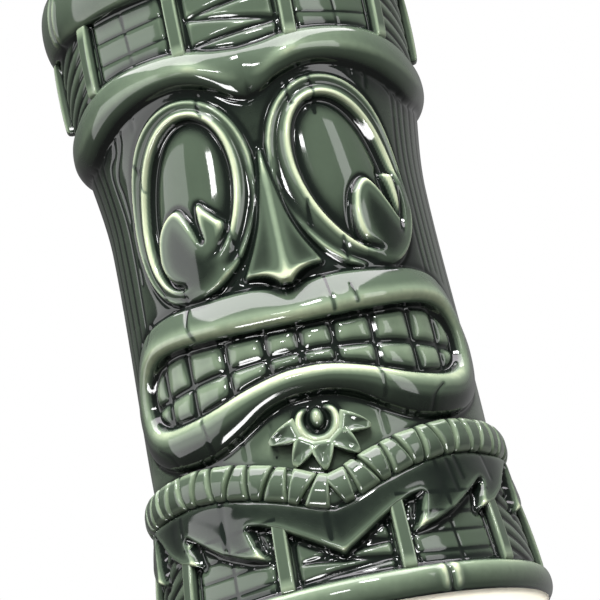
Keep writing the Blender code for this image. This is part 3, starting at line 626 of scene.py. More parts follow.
def glaze_depth_and_shade(pattern):
    """How deep the glaze lies, from 0 where it breaks over an edge to 1 where it pools in a hollow, with the
    ink's dark lines and painted shade added.
    """
    pools = 2.6 * (pattern.blurred(pattern.relief, 0.45) - pattern.relief)
    pools += pattern.blurred(pattern.relief, 1.2) - pattern.relief
    # Broad hollows darker and broad rises paler: partly pooled glaze, partly painted shade and painted light.
    broad_hollows_and_shade = pattern.blurred(pattern.relief, 3.0) - pattern.relief
    pools += np.where(broad_hollows_and_shade > 0.0, 0.95, 0.42) * broad_hollows_and_shade
    # The ink's dark lines and painted shade are added here.
    return 0.5 + 0.5 * np.tanh(pools + pattern.ink)


@lru_cache(maxsize=1)
def carved():
    """The whole carving, softened as the glaze softens it, with the places where glaze pools and where shade
    is painted.
    """
    pattern = Pattern()
    carve_frieze(pattern, "lower_frieze", FOOT_ROLL_TOP, 33.0, LOWER_PLANKS, LOWER_ZIGZAG)
    carve_frieze(pattern, "upper_frieze", 130.0, RIM_ROLL_LOW, UPPER_PLANKS, UPPER_ZIGZAG)
    carve_rolls(pattern)
    for angle, lean in FOOT_NODES:
        roll_joint(pattern, angle, 0.9, FOOT_ROLL_TOP, lean)
    for angle, lean in RIM_NODES:
        roll_joint(pattern, angle, RIM_ROLL_LOW, RIM_ROLL_TOP, lean)
    carve_grain(pattern)
    carve_headband(pattern)
    carve_eye(pattern, -1, LID_LEFT)
    carve_eye(pattern, 1, LID_RIGHT)
    carve_nose(pattern)
    carve_mouth(pattern)
    carve_flower(pattern)
    carve_skirt(pattern)
    carve_belt(pattern)
    for crack in CRACKS:
        carve_line(pattern, crack, 0.3, 0.65)
    low = pattern.z < FOOT_ROLL_TOP
    pattern.relief[low] = np.minimum(pattern.relief[low], 3.2)
    label_back(pattern)
    shade_parts(pattern)
    pattern.relief = pattern.blurred(pattern.relief, MELT)
    pattern.pool = glaze_depth_and_shade(pattern)
    pattern.places, pattern.normals = places_and_normals(pattern)
    return pattern


def places_and_normals(pattern):
    """Every place of the pattern put on the mug, in metres, and the direction it faces."""
    turn = np.radians(pattern.angle)[None, :]
    z = pattern.z[:, None] + 0.0 * turn
    radius = wall_radius(pattern.z)[:, None] + pattern.relief
    places = np.stack([radius * np.sin(turn), -radius * np.cos(turn), z], axis=2)
    around = np.roll(places, -1, axis=1) - np.roll(places, 1, axis=1)
    up = np.gradient(places, axis=0)
    normals = np.cross(around, up)
    normals /= np.linalg.norm(normals, axis=2, keepdims=True)
    return places * MM, normals


# --- Materials ---


class Nodes:
    """Adds nodes to a tree and links them, with the values given by socket name or number."""

    def __init__(self, tree):
        self.tree = tree

    def add(self, kind, settings=None, **values):
        node = self.tree.nodes.new(kind)
        for name, value in (settings or {}).items():
            setattr(node, name, value)
        for name, value in values.items():
            self.put(node, name, value)
        return node

    def put(self, node, name, value):
        key = int(name[1:]) if name[0] == "i" and name[1:].isdigit() else name.replace("_", " ")
        socket = node.inputs[key]
        if isinstance(value, bpy.types.NodeSocket):
            self.tree.links.new(value, socket)
        else:
            socket.default_value = value

    def maths(self, operation, *values):
        node = self.add("ShaderNodeMath", {"operation": operation})
        for i, value in enumerate(values):
            self.put(node, f"i{i}", value)
        return node.outputs[0]

    def spread(self, value, low, high, to_low=0.0, to_high=1.0, kind="LINEAR"):
        """A value carried from one range to another, and held at its ends."""
        node = self.add("ShaderNodeMapRange", {"interpolation_type": kind, "clamp": True}, Value=value)
        for name, number in (("From Min", low), ("From Max", high), ("To Min", to_low), ("To Max", to_high)):
            node.inputs[name].default_value = number
        return node.outputs[0]

    def noise(self, place, scale, detail, **more):
        return self.add("ShaderNodeTexNoise", Vector=place, Scale=scale, Detail=detail, **more).outputs["Fac"]


def new_group(name, kind, inputs, outputs):
    """An empty node group with its sockets: (name, socket type, default) and (name, socket type)."""
    tree = bpy.data.node_groups.new(name, kind)
    for title, socket_type, default in inputs:
        socket = tree.interface.new_socket(title, in_out="INPUT", socket_type=socket_type)
        if default is not None:
            socket.default_value = default
    for title, socket_type in outputs:
        tree.interface.new_socket(title, in_out="OUTPUT", socket_type=socket_type)
    nodes = Nodes(tree)
    return tree, nodes, nodes.add("NodeGroupInput"), nodes.add("NodeGroupOutput")


def pooled_and_shaded_glaze_group():
    """Glaze that breaks to a pale colour where it runs thin, and goes dark where it pools and where shade is
    painted.
    """
    tree, nodes, given, out = new_group(
        "Pooled and shaded glaze",
        "ShaderNodeTree",
        [
            ("Thin", "NodeSocketColor", (0.5, 0.56, 0.38, 1)),
            ("Pale", "NodeSocketColor", (0.2, 0.3, 0.18, 1)),
            ("Body", "NodeSocketColor", (0.08, 0.14, 0.09, 1)),
            ("Deep", "NodeSocketColor", (0.01, 0.02, 0.015, 1)),
            ("Clouding", "NodeSocketFloat", 0.1),
        ],
        [("Color", "NodeSocketColor"), ("Height", "NodeSocketFloat")],
    )
    place = nodes.add("ShaderNodeTexCoord").outputs["Object"]
    pool = nodes.add("ShaderNodeAttribute", {"attribute_name": "pool"}).outputs["Fac"]
    clouds = nodes.maths("ADD", nodes.noise(place, 70.0, 4.0, Roughness=0.6), nodes.noise(place, 600.0, 2.0))
    centred = nodes.maths("SUBTRACT", clouds, 1.0)
    # glaze depth with the painted shade in it, made uneven by the clouds
    depth = nodes.maths("MULTIPLY_ADD", centred, given.outputs["Clouding"], pool)

    def blend(low, high, first, second):
        share = nodes.spread(depth, low, high, kind="SMOOTHSTEP")
        return nodes.add("ShaderNodeMix", {"data_type": "RGBA"}, i0=share, i6=first, i7=second).outputs[2]

    colour = blend(0.02, 0.17, given.outputs["Thin"], given.outputs["Pale"])
    colour = blend(0.10, 0.38, colour, given.outputs["Body"])
    colour = blend(0.50, 0.90, colour, given.outputs["Deep"])
    nodes.put(out, "Color", colour)
    nodes.put(out, "Height", nodes.noise(place, 160.0, 1.0))
    return tree


def make_glaze(name, look):
    """Glossy glaze over stoneware."""
    made = bpy.data.materials.new(name)
    made.use_nodes = True
    nodes = Nodes(made.node_tree)
    shader = made.node_tree.nodes["Principled BSDF"]
    group = bpy.data.node_groups.get("Pooled and shaded glaze") or pooled_and_shaded_glaze_group()
    glaze = nodes.add("ShaderNodeGroup", {"node_tree": group})
    for name in ("Thin", "Pale", "Body", "Deep"):
        glaze.inputs[name].default_value = (*getattr(look, name.lower()), 1.0)
    glaze.inputs["Clouding"].default_value = look.clouding
    bump = nodes.add("ShaderNodeBump", Strength=0.05, Distance=0.0004, Height=glaze.outputs["Height"])
    nodes.put(shader, "Base_Color", glaze.outputs["Color"])
    nodes.put(shader, "Normal", bump.outputs["Normal"])
    shader.inputs["Roughness"].default_value = look.gloss
    shader.inputs["IOR"].default_value = 1.55
    return made


def make_bisque(name, colour):
    """Bare fired clay, dry and finely grained, as on the foot."""
    made = bpy.data.materials.new(name)
    made.use_nodes = True
    nodes = Nodes(made.node_tree)
    shader = made.node_tree.nodes["Principled BSDF"]
    place = nodes.add("ShaderNodeTexCoord").outputs["Object"]
    grain = nodes.noise(place, 900.0, 4.0)
    mix = nodes.add("ShaderNodeMix", {"data_type": "RGBA"}, i0=nodes.noise(place, 60.0, 3.0))
    mix.inputs[6].default_value = (*colour, 1.0)
    mix.inputs[7].default_value = (*(0.8 * c for c in colour), 1.0)
    bump = nodes.add("ShaderNodeBump", Strength=0.4, Distance=0.0002, Height=grain)
    nodes.put(shader, "Base_Color", mix.outputs[2])
    nodes.put(shader, "Normal", bump.outputs["Normal"])
    shader.inputs["Roughness"].default_value = 0.75
    return made


def glaze_of(context):
    return bpy.data.materials.get("glaze") or make_glaze("glaze", context.scene.tiki_glaze)


# --- Pieces ---


def seat(piece, slot, *nodes):
    """Puts a finished piece on the mug's body, in the place of its frame nodes."""
    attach(piece, BODY)
    if nodes:
        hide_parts(*nodes)
    return piece


def add_mesh(name, mesh, material):
    mesh.materials.clear()
    mesh.materials.append(material)
    made = bpy.data.objects.new(name, mesh)
    bpy.context.scene.collection.objects.link(made)
    return made


def write_floats(mesh, name, values):
    attribute = mesh.attributes.get(name) or mesh.attributes.new(name, "FLOAT", "POINT")
    attribute.data.foreach_set("value", np.ascontiguousarray(values, np.float32))


def chosen_columns(pattern):
    """Column numbers of the mesh: all of them on the face, and every third one behind."""
    every = np.arange(COLUMNS)
    fine = np.abs(pattern.angle) <= FINE_ANGLE
    return every[fine | (every % BACK_STRIDE == 0)]


def part_quads(pattern, part):
    """Corner numbers of the flat pattern's cells that belong to a part, one quad to a row."""
    columns = chosen_columns(pattern)
    following = np.roll(columns, -1)
    rows, across = np.nonzero(pattern.part[:-1, columns] == part)
    low = np.stack([rows * COLUMNS + columns[across], rows * COLUMNS + following[across]], axis=1)
    return np.concatenate([low, low[:, ::-1] + COLUMNS], axis=1)


def shell_faces(quads, count):
    """Quads on the first points, the same ones turned over on the next points, and the sides between."""
    edges = np.concatenate([quads[:, [i, (i + 1) % 4]] for i in range(4)])
    codes = edges.min(axis=1) * count + edges.max(axis=1)
    _, first, uses = np.unique(codes, return_index=True, return_counts=True)
    rim = edges[first[uses == 1]]
    sides = np.stack([rim[:, 1], rim[:, 0], rim[:, 0] + count, rim[:, 1] + count], axis=1)
    return np.concatenate([quads, quads[:, ::-1] + count, sides])


def quad_mesh(name, points, faces):
    mesh = bpy.data.meshes.new(name)
    mesh.vertices.add(len(points))
    mesh.vertices.foreach_set("co", points.ravel())
    mesh.loops.add(faces.size)
    mesh.loops.foreach_set("vertex_index", faces.ravel().astype(np.int32))
    mesh.polygons.add(len(faces))
    mesh.polygons.foreach_set("loop_start", np.arange(0, faces.size, 4, dtype=np.int32))
    mesh.update(calc_edges=True)
    mesh.shade_smooth()
    return mesh


def tile(part, material):
    """A closed tile of the wall: the carved face of a part, a plain inner side, and its edges."""
    pattern = carved()
    used, index = np.unique(part_quads(pattern, part), return_inverse=True)
    outer = pattern.places.reshape(-1, 3)[used]
    turn = np.arctan2(outer[:, 0], -outer[:, 1])
    radius = (wall_radius(outer[:, 2] / MM) - TILE_DEPTH) * MM
    inner = np.stack([radius * np.sin(turn), -radius * np.cos(turn), outer[:, 2]], axis=1)
    faces = shell_faces(index.reshape(-1, 4), len(used))
    mesh = quad_mesh(part, np.concatenate([outer, inner]), faces)
    pool = pattern.pool.ravel()[used]
    write_floats(mesh, "pool", np.concatenate([pool, pool]))
    facing = pattern.normals.reshape(-1, 3)[used]
    mesh.normals_split_custom_set_from_vertices(np.concatenate([facing, -facing]))
    return add_mesh(part, mesh, material)


def turned(name, profile, material, pool):
    """A closed ring or disc turned from (radius, height) points in mm."""
    mesh = bpy.data.meshes.new(name)
    edges = [(i, i + 1) for i in range(len(profile) - 1)]
    if profile[0][0] > 0.0:
        edges.append((len(profile) - 1, 0))
    mesh.from_pydata([(radius * MM, 0.0, z * MM) for radius, z in profile], edges, [])
    made = add_mesh(name, mesh, material)
    screw = made.modifiers.new("Turn", "SCREW")
    screw.steps = screw.render_steps = TURN_STEPS
    screw.use_merge_vertices = True
    screw.merge_threshold = 0.01 * MM
    screw.use_smooth_shade = True
    apply_modifiers(made)
    made.data.set_sharp_from_angle(angle=math.radians(40.0))
    write_floats(made.data, "pool", np.full(len(made.data.vertices), pool))
    return made


def apply_modifiers(made):
    """Turns an object's evaluated shape into its own plain mesh."""
    bpy.context.view_layer.update()
    graph = bpy.context.evaluated_depsgraph_get()
    mesh = bpy.data.meshes.new_from_object(made.evaluated_get(graph), depsgraph=graph)
    mesh.name = made.name
    made.modifiers.clear()
    made.data = mesh
    return made


def arc(centre, radius, start, end, points):
    turn = np.radians(np.linspace(start, end, points))
    return [(centre[0] + radius * math.cos(t), centre[1] + radius * math.sin(t)) for t in turn]


# --- Geometry Nodes ---


def geometry_group(name, inputs, takes_mesh=False):
    """An empty geometry tree, which may also take a mesh to work on."""
    mesh_in = [("Geometry", "NodeSocketGeometry", None)] if takes_mesh else []
    return new_group(name, "GeometryNodeTree", mesh_in + inputs, [("Geometry", "NodeSocketGeometry")])


def wrap_group():
    """Bends flat geometry round the turned wall: x runs round the mug, and -y stands out of it."""
    tree, nodes, given, out = geometry_group("Wrap on wall", [], takes_mesh=True)
    place = nodes.add("ShaderNodeSeparateXYZ", Vector=nodes.add("GeometryNodeInputPosition").outputs[0])
    x, y, z = place.outputs
    flare = nodes.spread(z, FOOT_ROLL_TOP * MM, BELT_Z * MM, FOOT_RADIUS * MM, BELT_RADIUS * MM)
    waist = nodes.spread(z, BELT_Z * MM, EYE_Z * MM, 0.0, (WAIST_RADIUS - BELT_RADIUS) * MM, "SMOOTHSTEP")
    head = nodes.spread(z, EYE_Z * MM, HEAD_Z * MM, 0.0, (HEAD_RADIUS - WAIST_RADIUS) * MM, "SMOOTHSTEP")
    wall = nodes.maths("ADD", nodes.maths("ADD", flare, waist), head)
    radius = nodes.maths("SUBTRACT", wall, y)
    turn = nodes.maths("DIVIDE", x, PATTERN_RADIUS * MM)
    along = nodes.maths("MULTIPLY", radius, nodes.maths("SINE", turn))
    towards = nodes.maths("MULTIPLY", radius, nodes.maths("COSINE", turn))
    back = nodes.maths("MULTIPLY", towards, -1.0)
    bent = nodes.add("ShaderNodeCombineXYZ", X=along, Y=back, Z=z)
    moved = nodes.add("GeometryNodeSetPosition", Geometry=given.outputs[0], Position=bent.outputs[0])
    nodes.put(out, "Geometry", moved.outputs[0])
    return tree


BLOCK_SHAPE = [
    ("Size", "NodeSocketVector", (0.004, 0.002, 0.01)),
    ("Taper", "NodeSocketFloat", 0.0),
    ("Dish", "NodeSocketFloat", 0.0),
    ("Crease", "NodeSocketFloat", 0.3),
    ("Point", "NodeSocketFloat", 1.0),
    ("Crown", "NodeSocketFloat", 0.2),
]
BLOCK_INPUTS = BLOCK_SHAPE + [
    ("Count", "NodeSocketInt", 10),
    ("Seed", "NodeSocketInt", 3),
    ("Material", "NodeSocketMaterial", None),
]


def soft_cube(nodes, given):
    """A cube of side 2 with rounded edges."""
    cube = nodes.add("GeometryNodeMeshCube", Size=(2.0, 2.0, 2.0))
    for name, count in (("Vertices X", 5), ("Vertices Y", 2), ("Vertices Z", 7)):
        cube.inputs[name].default_value = count
    soft = nodes.add("GeometryNodeSubdivisionSurface", Mesh=cube.outputs["Mesh"], Level=2)
    nodes.put(soft, "Edge_Crease", given.outputs["Crease"])
    return soft.outputs[0]


def block_glaze_and_shade(nodes, proud, reach, front):
    """How deep the glaze lies on a block: thin on its edges and deeper in its middle, and darker down its
    sides with pooled glaze and painted shade.
    """
    # darker down the sides towards the wall: pooled glaze and painted shade
    sides = nodes.spread(proud, 0.0, 0.72, 0.95, 0.14)
    middle = nodes.spread(reach, 0.84, 0.45, 0.0, 0.34, "SMOOTHSTEP")
    return nodes.maths("MULTIPLY_ADD", middle, front, sides)


def block_place(nodes, given, place, reach, front):
    """Where each point of the soft cube goes: tapered, dished, crowned, and brought to size."""
    u, out_in, v = place
    half = nodes.add("ShaderNodeVectorMath", {"operation": "SCALE"}, i0=given.outputs["Size"], Scale=0.5)
    size = nodes.add("ShaderNodeSeparateXYZ", Vector=half.outputs[0])
    narrow = nodes.maths("SUBTRACT", 1.0, nodes.maths("MULTIPLY", v, given.outputs["Taper"]))
    narrow = nodes.maths("POWER", nodes.maths("MAXIMUM", narrow, 0.0), given.outputs["Point"])
    across = nodes.maths("MULTIPLY", nodes.maths("MULTIPLY", u, narrow), size.outputs[0])
    hollow = nodes.maths("MULTIPLY", nodes.spread(reach, 0.85, 0.0, kind="SMOOTHSTEP"), front)
    dished = nodes.maths("MULTIPLY_ADD", hollow, given.outputs["Dish"], out_in)
    crown = nodes.maths("MULTIPLY", nodes.maths("MULTIPLY", v, v), given.outputs["Crown"])
    crowned = nodes.maths("MULTIPLY", dished, nodes.maths("SUBTRACT", 1.0, crown))
    deep = nodes.maths("MULTIPLY", crowned, size.outputs[1])
    up = nodes.maths("MULTIPLY", v, size.outputs[2])
    return nodes.add("ShaderNodeCombineXYZ", X=across, Y=deep, Z=up).outputs[0]


def block_group():
    """A soft-edged block of glazed clay: pale along its edges, and dark down its sides with pooled glaze and
    painted shade.
    """
    tree, nodes, given, out = geometry_group("Glazed block", BLOCK_SHAPE)
    position = nodes.add("GeometryNodeInputPosition").outputs[0]
    place = nodes.add("ShaderNodeSeparateXYZ", Vector=position).outputs
    reach = nodes.maths("MAXIMUM", nodes.maths("ABSOLUTE", place[0]), nodes.maths("ABSOLUTE", place[2]))
    proud = nodes.maths("MULTIPLY", place[1], -1.0)
    front = nodes.maths("GREATER_THAN", proud, 0.0)
    named = nodes.add("GeometryNodeStoreNamedAttribute", {"data_type": "FLOAT"}, Name="pool")
    nodes.put(named, "Geometry", soft_cube(nodes, given))
    nodes.put(named, "Value", block_glaze_and_shade(nodes, proud, reach, front))
    shaped = block_place(nodes, given, place, reach, front)
    moved = nodes.add("GeometryNodeSetPosition", Geometry=named.outputs[0], Position=shaped)
    smooth = nodes.add("GeometryNodeSetShadeSmooth", Geometry=moved.outputs[0])
    nodes.put(out, "Geometry", smooth.outputs[0])
    return tree


def block_of(nodes, given):
    """A block node that takes this tree's own inputs."""
    group = bpy.data.node_groups.get("Glazed block") or block_group()
    block = nodes.add("GeometryNodeGroup", {"node_tree": group})
    for name, _, _ in BLOCK_SHAPE:
        nodes.put(block, name, given.outputs[name])
    return block.outputs[0]


def finish_tree(nodes, given, out, instances):
    """Realises the blocks, bends them round the wall, and gives them their glaze."""
    real = nodes.add("GeometryNodeRealizeInstances", Geometry=instances)
    group = bpy.data.node_groups.get("Wrap on wall") or wrap_group()
    bent = nodes.add("GeometryNodeGroup", {"node_tree": group}, Geometry=real.outputs[0])
    glazed = nodes.add("GeometryNodeSetMaterial", Geometry=bent.outputs[0])
    nodes.put(glazed, "Material", given.outputs["Material"])
    nodes.put(out, "Geometry", glazed.outputs[0])


def jitter(nodes, given, spread, seed_step):
    """A random turn in the plane of the wall, the same on every run."""
    seed = nodes.maths("ADD", given.outputs["Seed"], float(seed_step))
    chance = nodes.add("FunctionNodeRandomValue", {"data_type": "FLOAT"})
    chance.inputs[2].default_value = -spread
    chance.inputs[3].default_value = spread
    nodes.put(chance, "Seed", seed)
    return chance.outputs[1]


def ring_group():
    """Blocks stood evenly round the mug, each a little out of true."""
    inputs = BLOCK_INPUTS + [("Height", "NodeSocketFloat", 0.02), ("First", "NodeSocketFloat", 0.0)]
    tree, nodes, given, out = geometry_group("Batten ring", inputs)
    pitch = nodes.maths("DIVIDE", 2.0 * math.pi * PATTERN_RADIUS * MM, given.outputs["Count"])
    index = nodes.add("GeometryNodeInputIndex").outputs[0]
    x = nodes.maths("MULTIPLY_ADD", index, pitch, given.outputs["First"])
    place = nodes.add("ShaderNodeCombineXYZ", X=x, Z=given.outputs["Height"])
    points = nodes.add("GeometryNodePoints", Position=place.outputs[0])
    nodes.put(points, "Count", given.outputs["Count"])
    turn = nodes.add("ShaderNodeCombineXYZ", Y=jitter(nodes, given, 0.03, 0))
    block = block_of(nodes, given)
    laid = nodes.add("GeometryNodeInstanceOnPoints", Points=points.outputs[0], Instance=block)
    nodes.put(laid, "Rotation", turn.outputs[0])
    finish_tree(nodes, given, out, laid.outputs[0])
    return tree


def fan_group():
    """Blocks fanned out from a point."""
    inputs = BLOCK_INPUTS + [
        ("Centre", "NodeSocketVector", (0.0, 0.0, 0.04)),
        ("Inner", "NodeSocketFloat", 0.005),
        ("Start", "NodeSocketFloat", -1.8),
        ("Step", "NodeSocketFloat", -0.65),
    ]
    tree, nodes, given, out = geometry_group("Petal fan", inputs)
    points = nodes.add("GeometryNodePoints", Position=given.outputs["Centre"])
    nodes.put(points, "Count", given.outputs["Count"])
    shift = nodes.add("ShaderNodeCombineXYZ", Z=given.outputs["Inner"])
    pushed = nodes.add("GeometryNodeTransform", Geometry=block_of(nodes, given), Translation=shift.outputs[0])
    index = nodes.add("GeometryNodeInputIndex").outputs[0]
    fanned = nodes.maths("MULTIPLY_ADD", index, given.outputs["Step"], given.outputs["Start"])
    turn = nodes.add("ShaderNodeCombineXYZ", Y=nodes.maths("ADD", fanned, jitter(nodes, given, 0.05, 1)))
    laid = nodes.add("GeometryNodeInstanceOnPoints", Points=points.outputs[0], Instance=pushed.outputs[0])
    nodes.put(laid, "Rotation", turn.outputs[0])
    finish_tree(nodes, given, out, laid.outputs[0])
    return tree


def course_group():
    """Wedges laid end to end along a line, every second one turned over."""
    tree, nodes, given, out = geometry_group("Wedge course", BLOCK_INPUTS, takes_mesh=True)
    curve = nodes.add("GeometryNodeMeshToCurve", Mesh=given.outputs["Geometry"])
    index = nodes.add("GeometryNodeInputIndex").outputs[0]
    share = nodes.maths("DIVIDE", nodes.maths("ADD", index, 0.5), given.outputs["Count"])
    at = nodes.add("GeometryNodeSampleCurve", {"mode": "FACTOR"}, Curves=curve.outputs[0])
    nodes.put(at, "Factor", share)
    points = nodes.add("GeometryNodePoints")
    nodes.put(points, "Count", given.outputs["Count"])
    laid = nodes.add("GeometryNodeSetPosition", Geometry=points.outputs[0], Position=at.outputs["Position"])
    slope = nodes.add("ShaderNodeSeparateXYZ", Vector=at.outputs["Tangent"])
    lean = nodes.maths("MULTIPLY", nodes.maths("ARCTAN2", slope.outputs[2], slope.outputs[0]), -1.0)
    over = nodes.maths("MULTIPLY", nodes.maths("MODULO", index, 2.0), math.pi)
    turned_over = nodes.maths("ADD", nodes.maths("ADD", lean, over), jitter(nodes, given, 0.07, 2))
    turn = nodes.add("ShaderNodeCombineXYZ", Y=turned_over)
    block = block_of(nodes, given)
    wedges = nodes.add("GeometryNodeInstanceOnPoints", Points=laid.outputs[0], Instance=block)
    nodes.put(wedges, "Rotation", turn.outputs[0])
    finish_tree(nodes, given, out, wedges.outputs[0])
    return tree


def grown(name, tree, values, mesh=None):
    """An object that a geometry tree makes, as a plain mesh."""
    made = bpy.data.objects.new(name, mesh or bpy.data.meshes.new(name))
    bpy.context.scene.collection.objects.link(made)
    modifier = made.modifiers.new(name, "NODES")
    modifier.node_group = tree
    for socket in tree.interface.items_tree:
        if socket.in_out == "INPUT" and socket.name in values:
            modifier[socket.identifier] = values[socket.name]
    return apply_modifiers(made)


def block_values(blocks, material):
    """The inputs of a block tree, from the sizes of one kind of block."""
    names = ("Taper", "Dish", "Crease", "Point", "Crown", "Count", "Seed")
    values = {name: getattr(blocks, name.lower()) for name in names}
    values["Size"] = (blocks.width, blocks.thickness, blocks.length)
    values["Material"] = material
    return values


# --- Sizes and colours ---


class TikiGlaze(bpy.types.PropertyGroup):
    """Colours of the glaze, from where it runs thin to where it pools."""

    thin: bpy.props.FloatVectorProperty(
        name="Thin", description="Over sharp edges", subtype="COLOR", size=3, default=(0.42, 0.47, 0.31)
    )
    pale: bpy.props.FloatVectorProperty(
        name="Pale", description="Over rounded edges", subtype="COLOR", size=3, default=(0.16, 0.21, 0.14)
    )
    body: bpy.props.FloatVectorProperty(
        name="Body", description="Over flat clay", subtype="COLOR", size=3, default=(0.053, 0.074, 0.050)
    )
    # Deep is also the colour that the painted shade reaches
    deep: bpy.props.FloatVectorProperty(
        name="Deep", description="In the grooves", subtype="COLOR", size=3, default=(0.005, 0.008, 0.006)
    )
    clouding: bpy.props.FloatProperty(name="Clouding", description="How uneven the glaze is", default=0.045)
    gloss: bpy.props.FloatProperty(name="Roughness", description="Roughness of the glaze", default=0.075)
    bisque: bpy.props.FloatVectorProperty(
        name="Bisque", description="Bare clay", subtype="COLOR", size=3, default=(0.86, 0.81, 0.67)
    )


class TikiBlocks(bpy.types.PropertyGroup):
    """One kind of glazed block, such as the battens."""

    width: bpy.props.FloatProperty(name="Width", description="Along the wall", default=0.0029, unit="LENGTH")
    thickness: bpy.props.FloatProperty(
        name="Thickness", description="Out of the wall", default=0.004, unit="LENGTH"
    )
    length: bpy.props.FloatProperty(name="Length", description="Up the wall", default=0.017, unit="LENGTH")
    taper: bpy.props.FloatProperty(name="Taper", description="How much the far end narrows", default=0.0)
    dish: bpy.props.FloatProperty(name="Dish", description="How far the middle is hollowed", default=0.0)
    crease: bpy.props.FloatProperty(name="Crease", description="Sharpness of the edges", default=0.3)
    point: bpy.props.FloatProperty(name="Point", description="Power of the taper", default=1.0)
    crown: bpy.props.FloatProperty(name="Crown", description="How far the ends fall away", default=0.15)
    count: bpy.props.IntProperty(name="Count", description="Number of blocks", default=10)
    seed: bpy.props.IntProperty(name="Seed", description="Seed of their unevenness", default=3)


class TikiStage(bpy.types.PropertyGroup):
    """The studio light, with powers in watts."""

    room: bpy.props.FloatProperty(name="Room", description="Brightness of the room in front", default=0.15)
    sheet: bpy.props.FloatProperty(name="Sheet", description="Brightness of the white behind", default=0.45)
    key: bpy.props.FloatProperty(name="Key", description="Large soft light on the left", default=4.0)
    soft: bpy.props.FloatProperty(name="Soft", description="Even light from above the face", default=20.0)
    window: bpy.props.FloatProperty(name="Window", description="Small bright light", default=2.0)
    flash: bpy.props.FloatProperty(name="Flash", description="Small light near the viewer", default=0.7)
    low: bpy.props.FloatProperty(name="Low window", description="Bright light from below", default=4.0)
    strip: bpy.props.FloatProperty(name="Strip", description="Narrow light on the right", default=1.0)
    fill: bpy.props.FloatProperty(name="Fill", description="Soft light on the back", default=5.0)
    top: bpy.props.FloatProperty(name="Top", description="Panel past the rim", default=24.0)
    under: bpy.props.FloatProperty(name="Under", description="Light on the bare foot", default=0.12)


# The blocks that aren't battens
WEDGES = {"width": 0.0040, "thickness": 0.0066, "length": 0.0084, "count": 54}
WEDGES |= {"taper": 0.44, "crease": 0.1, "crown": 0.5}
PETALS = {"width": 0.0040, "thickness": 0.0058, "length": 0.0070, "count": 5}
PETALS |= {"taper": 0.98, "point": 0.60, "dish": 0.3, "crease": 0.45, "crown": 0.35}


def set_values(group, values):
    for name, value in values.items():
        setattr(group, name, value)


# --- Operators ---


class TikiOperator:
    """What every operator of the mug shares."""

    bl_options = {"REGISTER", "UNDO"}


def lining_profile():
    """The cup's inside, its lip, and a side hidden in the wall, as (radius, height) points."""
    inside = HEAD_RADIUS - WALL
    profile = [(0.0, FLOOR_Z), (16.0, FLOOR_Z)] + arc((27.4, FLOOR_Z + 7.0), 7.0, -90, -8, 9)
    profile += [(float(wall_radius(z)) - WALL, float(z)) for z in np.linspace(24.0, 158.0, 28)]
    profile += [(inside, 161.0), (inside + 0.25, 162.9)] + arc((38.6, 162.9), 2.1, 165, 90, 6)
    profile += [(39.8, 164.9), (40.9, 164.45), (41.8, 163.7), (42.35, 162.9), (42.45, 162.6), (39.2, 162.6)]
    profile += [(float(wall_radius(z)) - 2.0, float(z)) for z in np.linspace(160.0, 6.0, 40)]
    return profile + [(40.0, 4.2), (0.0, 4.2)]


def foot_profile():
    """The recess under the foot and its rounded ring, as (radius, height) points."""
    profile = [(0.0, 2.0), (36.6, 2.0)] + arc((37.9, 0.9), 0.9, 150, 270, 5) + [(42.4, 0.0)]
    profile += arc((43.0, 1.6), 1.6, -80, -22, 6) + [(44.7, 1.25), (44.0, 2.4), (40.0, 4.1), (0.0, 4.1)]
    return profile[::-1]


class TIKI_OT_cup(TikiOperator, bpy.types.Operator):
    """Adds the glazed lining with its lip, and the bare foot under it"""

    bl_idname = "tiki.cup"
    bl_label = "Cup"

    def execute(self, context):
        seat(turned("lining", lining_profile(), glaze_of(context), 0.45), "wall_glaze", "mug_body")
        bisque = make_bisque("bisque", context.scene.tiki_glaze.bisque)
        seat(turned("foot", foot_profile(), bisque, 0.5), "wall_glaze", "mug_body")
        return {"FINISHED"}


class TIKI_OT_walls(TikiOperator, bpy.types.Operator):
    """Adds the grained wall round the face, and the panelled friezes above and below it"""

    bl_idname = "tiki.walls"
    bl_label = "Walls"

    def execute(self, context):
        for name in ("upper_frieze", "lower_frieze", "face_wall", "back_wall"):
            seat(tile(name, glaze_of(context)), "wall_glaze", "mug_body")
        return {"FINISHED"}


class TIKI_OT_bands(TikiOperator, bpy.types.Operator):
    """Adds the bamboo rolls of the rim and the foot, and the headband with its drooping brow"""

    bl_idname = "tiki.bands"
    bl_label = "Bands"

    def execute(self, context):
        for name in ("rim_roll", "foot_roll", "headband"):
            seat(tile(name, glaze_of(context)), "band_glaze", name)
        return {"FINISHED"}


class TIKI_OT_eyes(TikiOperator, bpy.types.Operator):
    """Adds the ringed eyes with their carved lids"""

    bl_idname = "tiki.eyes"
    bl_label = "Eyes"

    def execute(self, context):
        for side in ("left", "right"):
            for name in (f"eye_ring_{side}", f"eyeball_{side}", f"lower_lid_{side}"):
                seat(tile(name, glaze_of(context)), "eye_glaze", name)
        return {"FINISHED"}


class TIKI_OT_nose(TikiOperator, bpy.types.Operator):
    """Adds the ridged nose"""

    bl_idname = "tiki.nose"
    bl_label = "Nose"

    def execute(self, context):
        seat(tile("nose", glaze_of(context)), "band_glaze", "nose")
        return {"FINISHED"}


class TIKI_OT_mouth(TikiOperator, bpy.types.Operator):
    """Adds the roll of the lips and the two rows of teeth"""

    bl_idname = "tiki.mouth"
    bl_label = "Mouth"

    def execute(self, context):
        seat(tile("lips", glaze_of(context)), "band_glaze", "lip_roll")
        for row in ("upper", "lower"):
            teeth = [f"{row}_tooth_{i}" for i in range(1, 11)]
            seat(tile(f"{row}_teeth", glaze_of(context)), "tooth_glaze", *teeth)
        return {"FINISHED"}


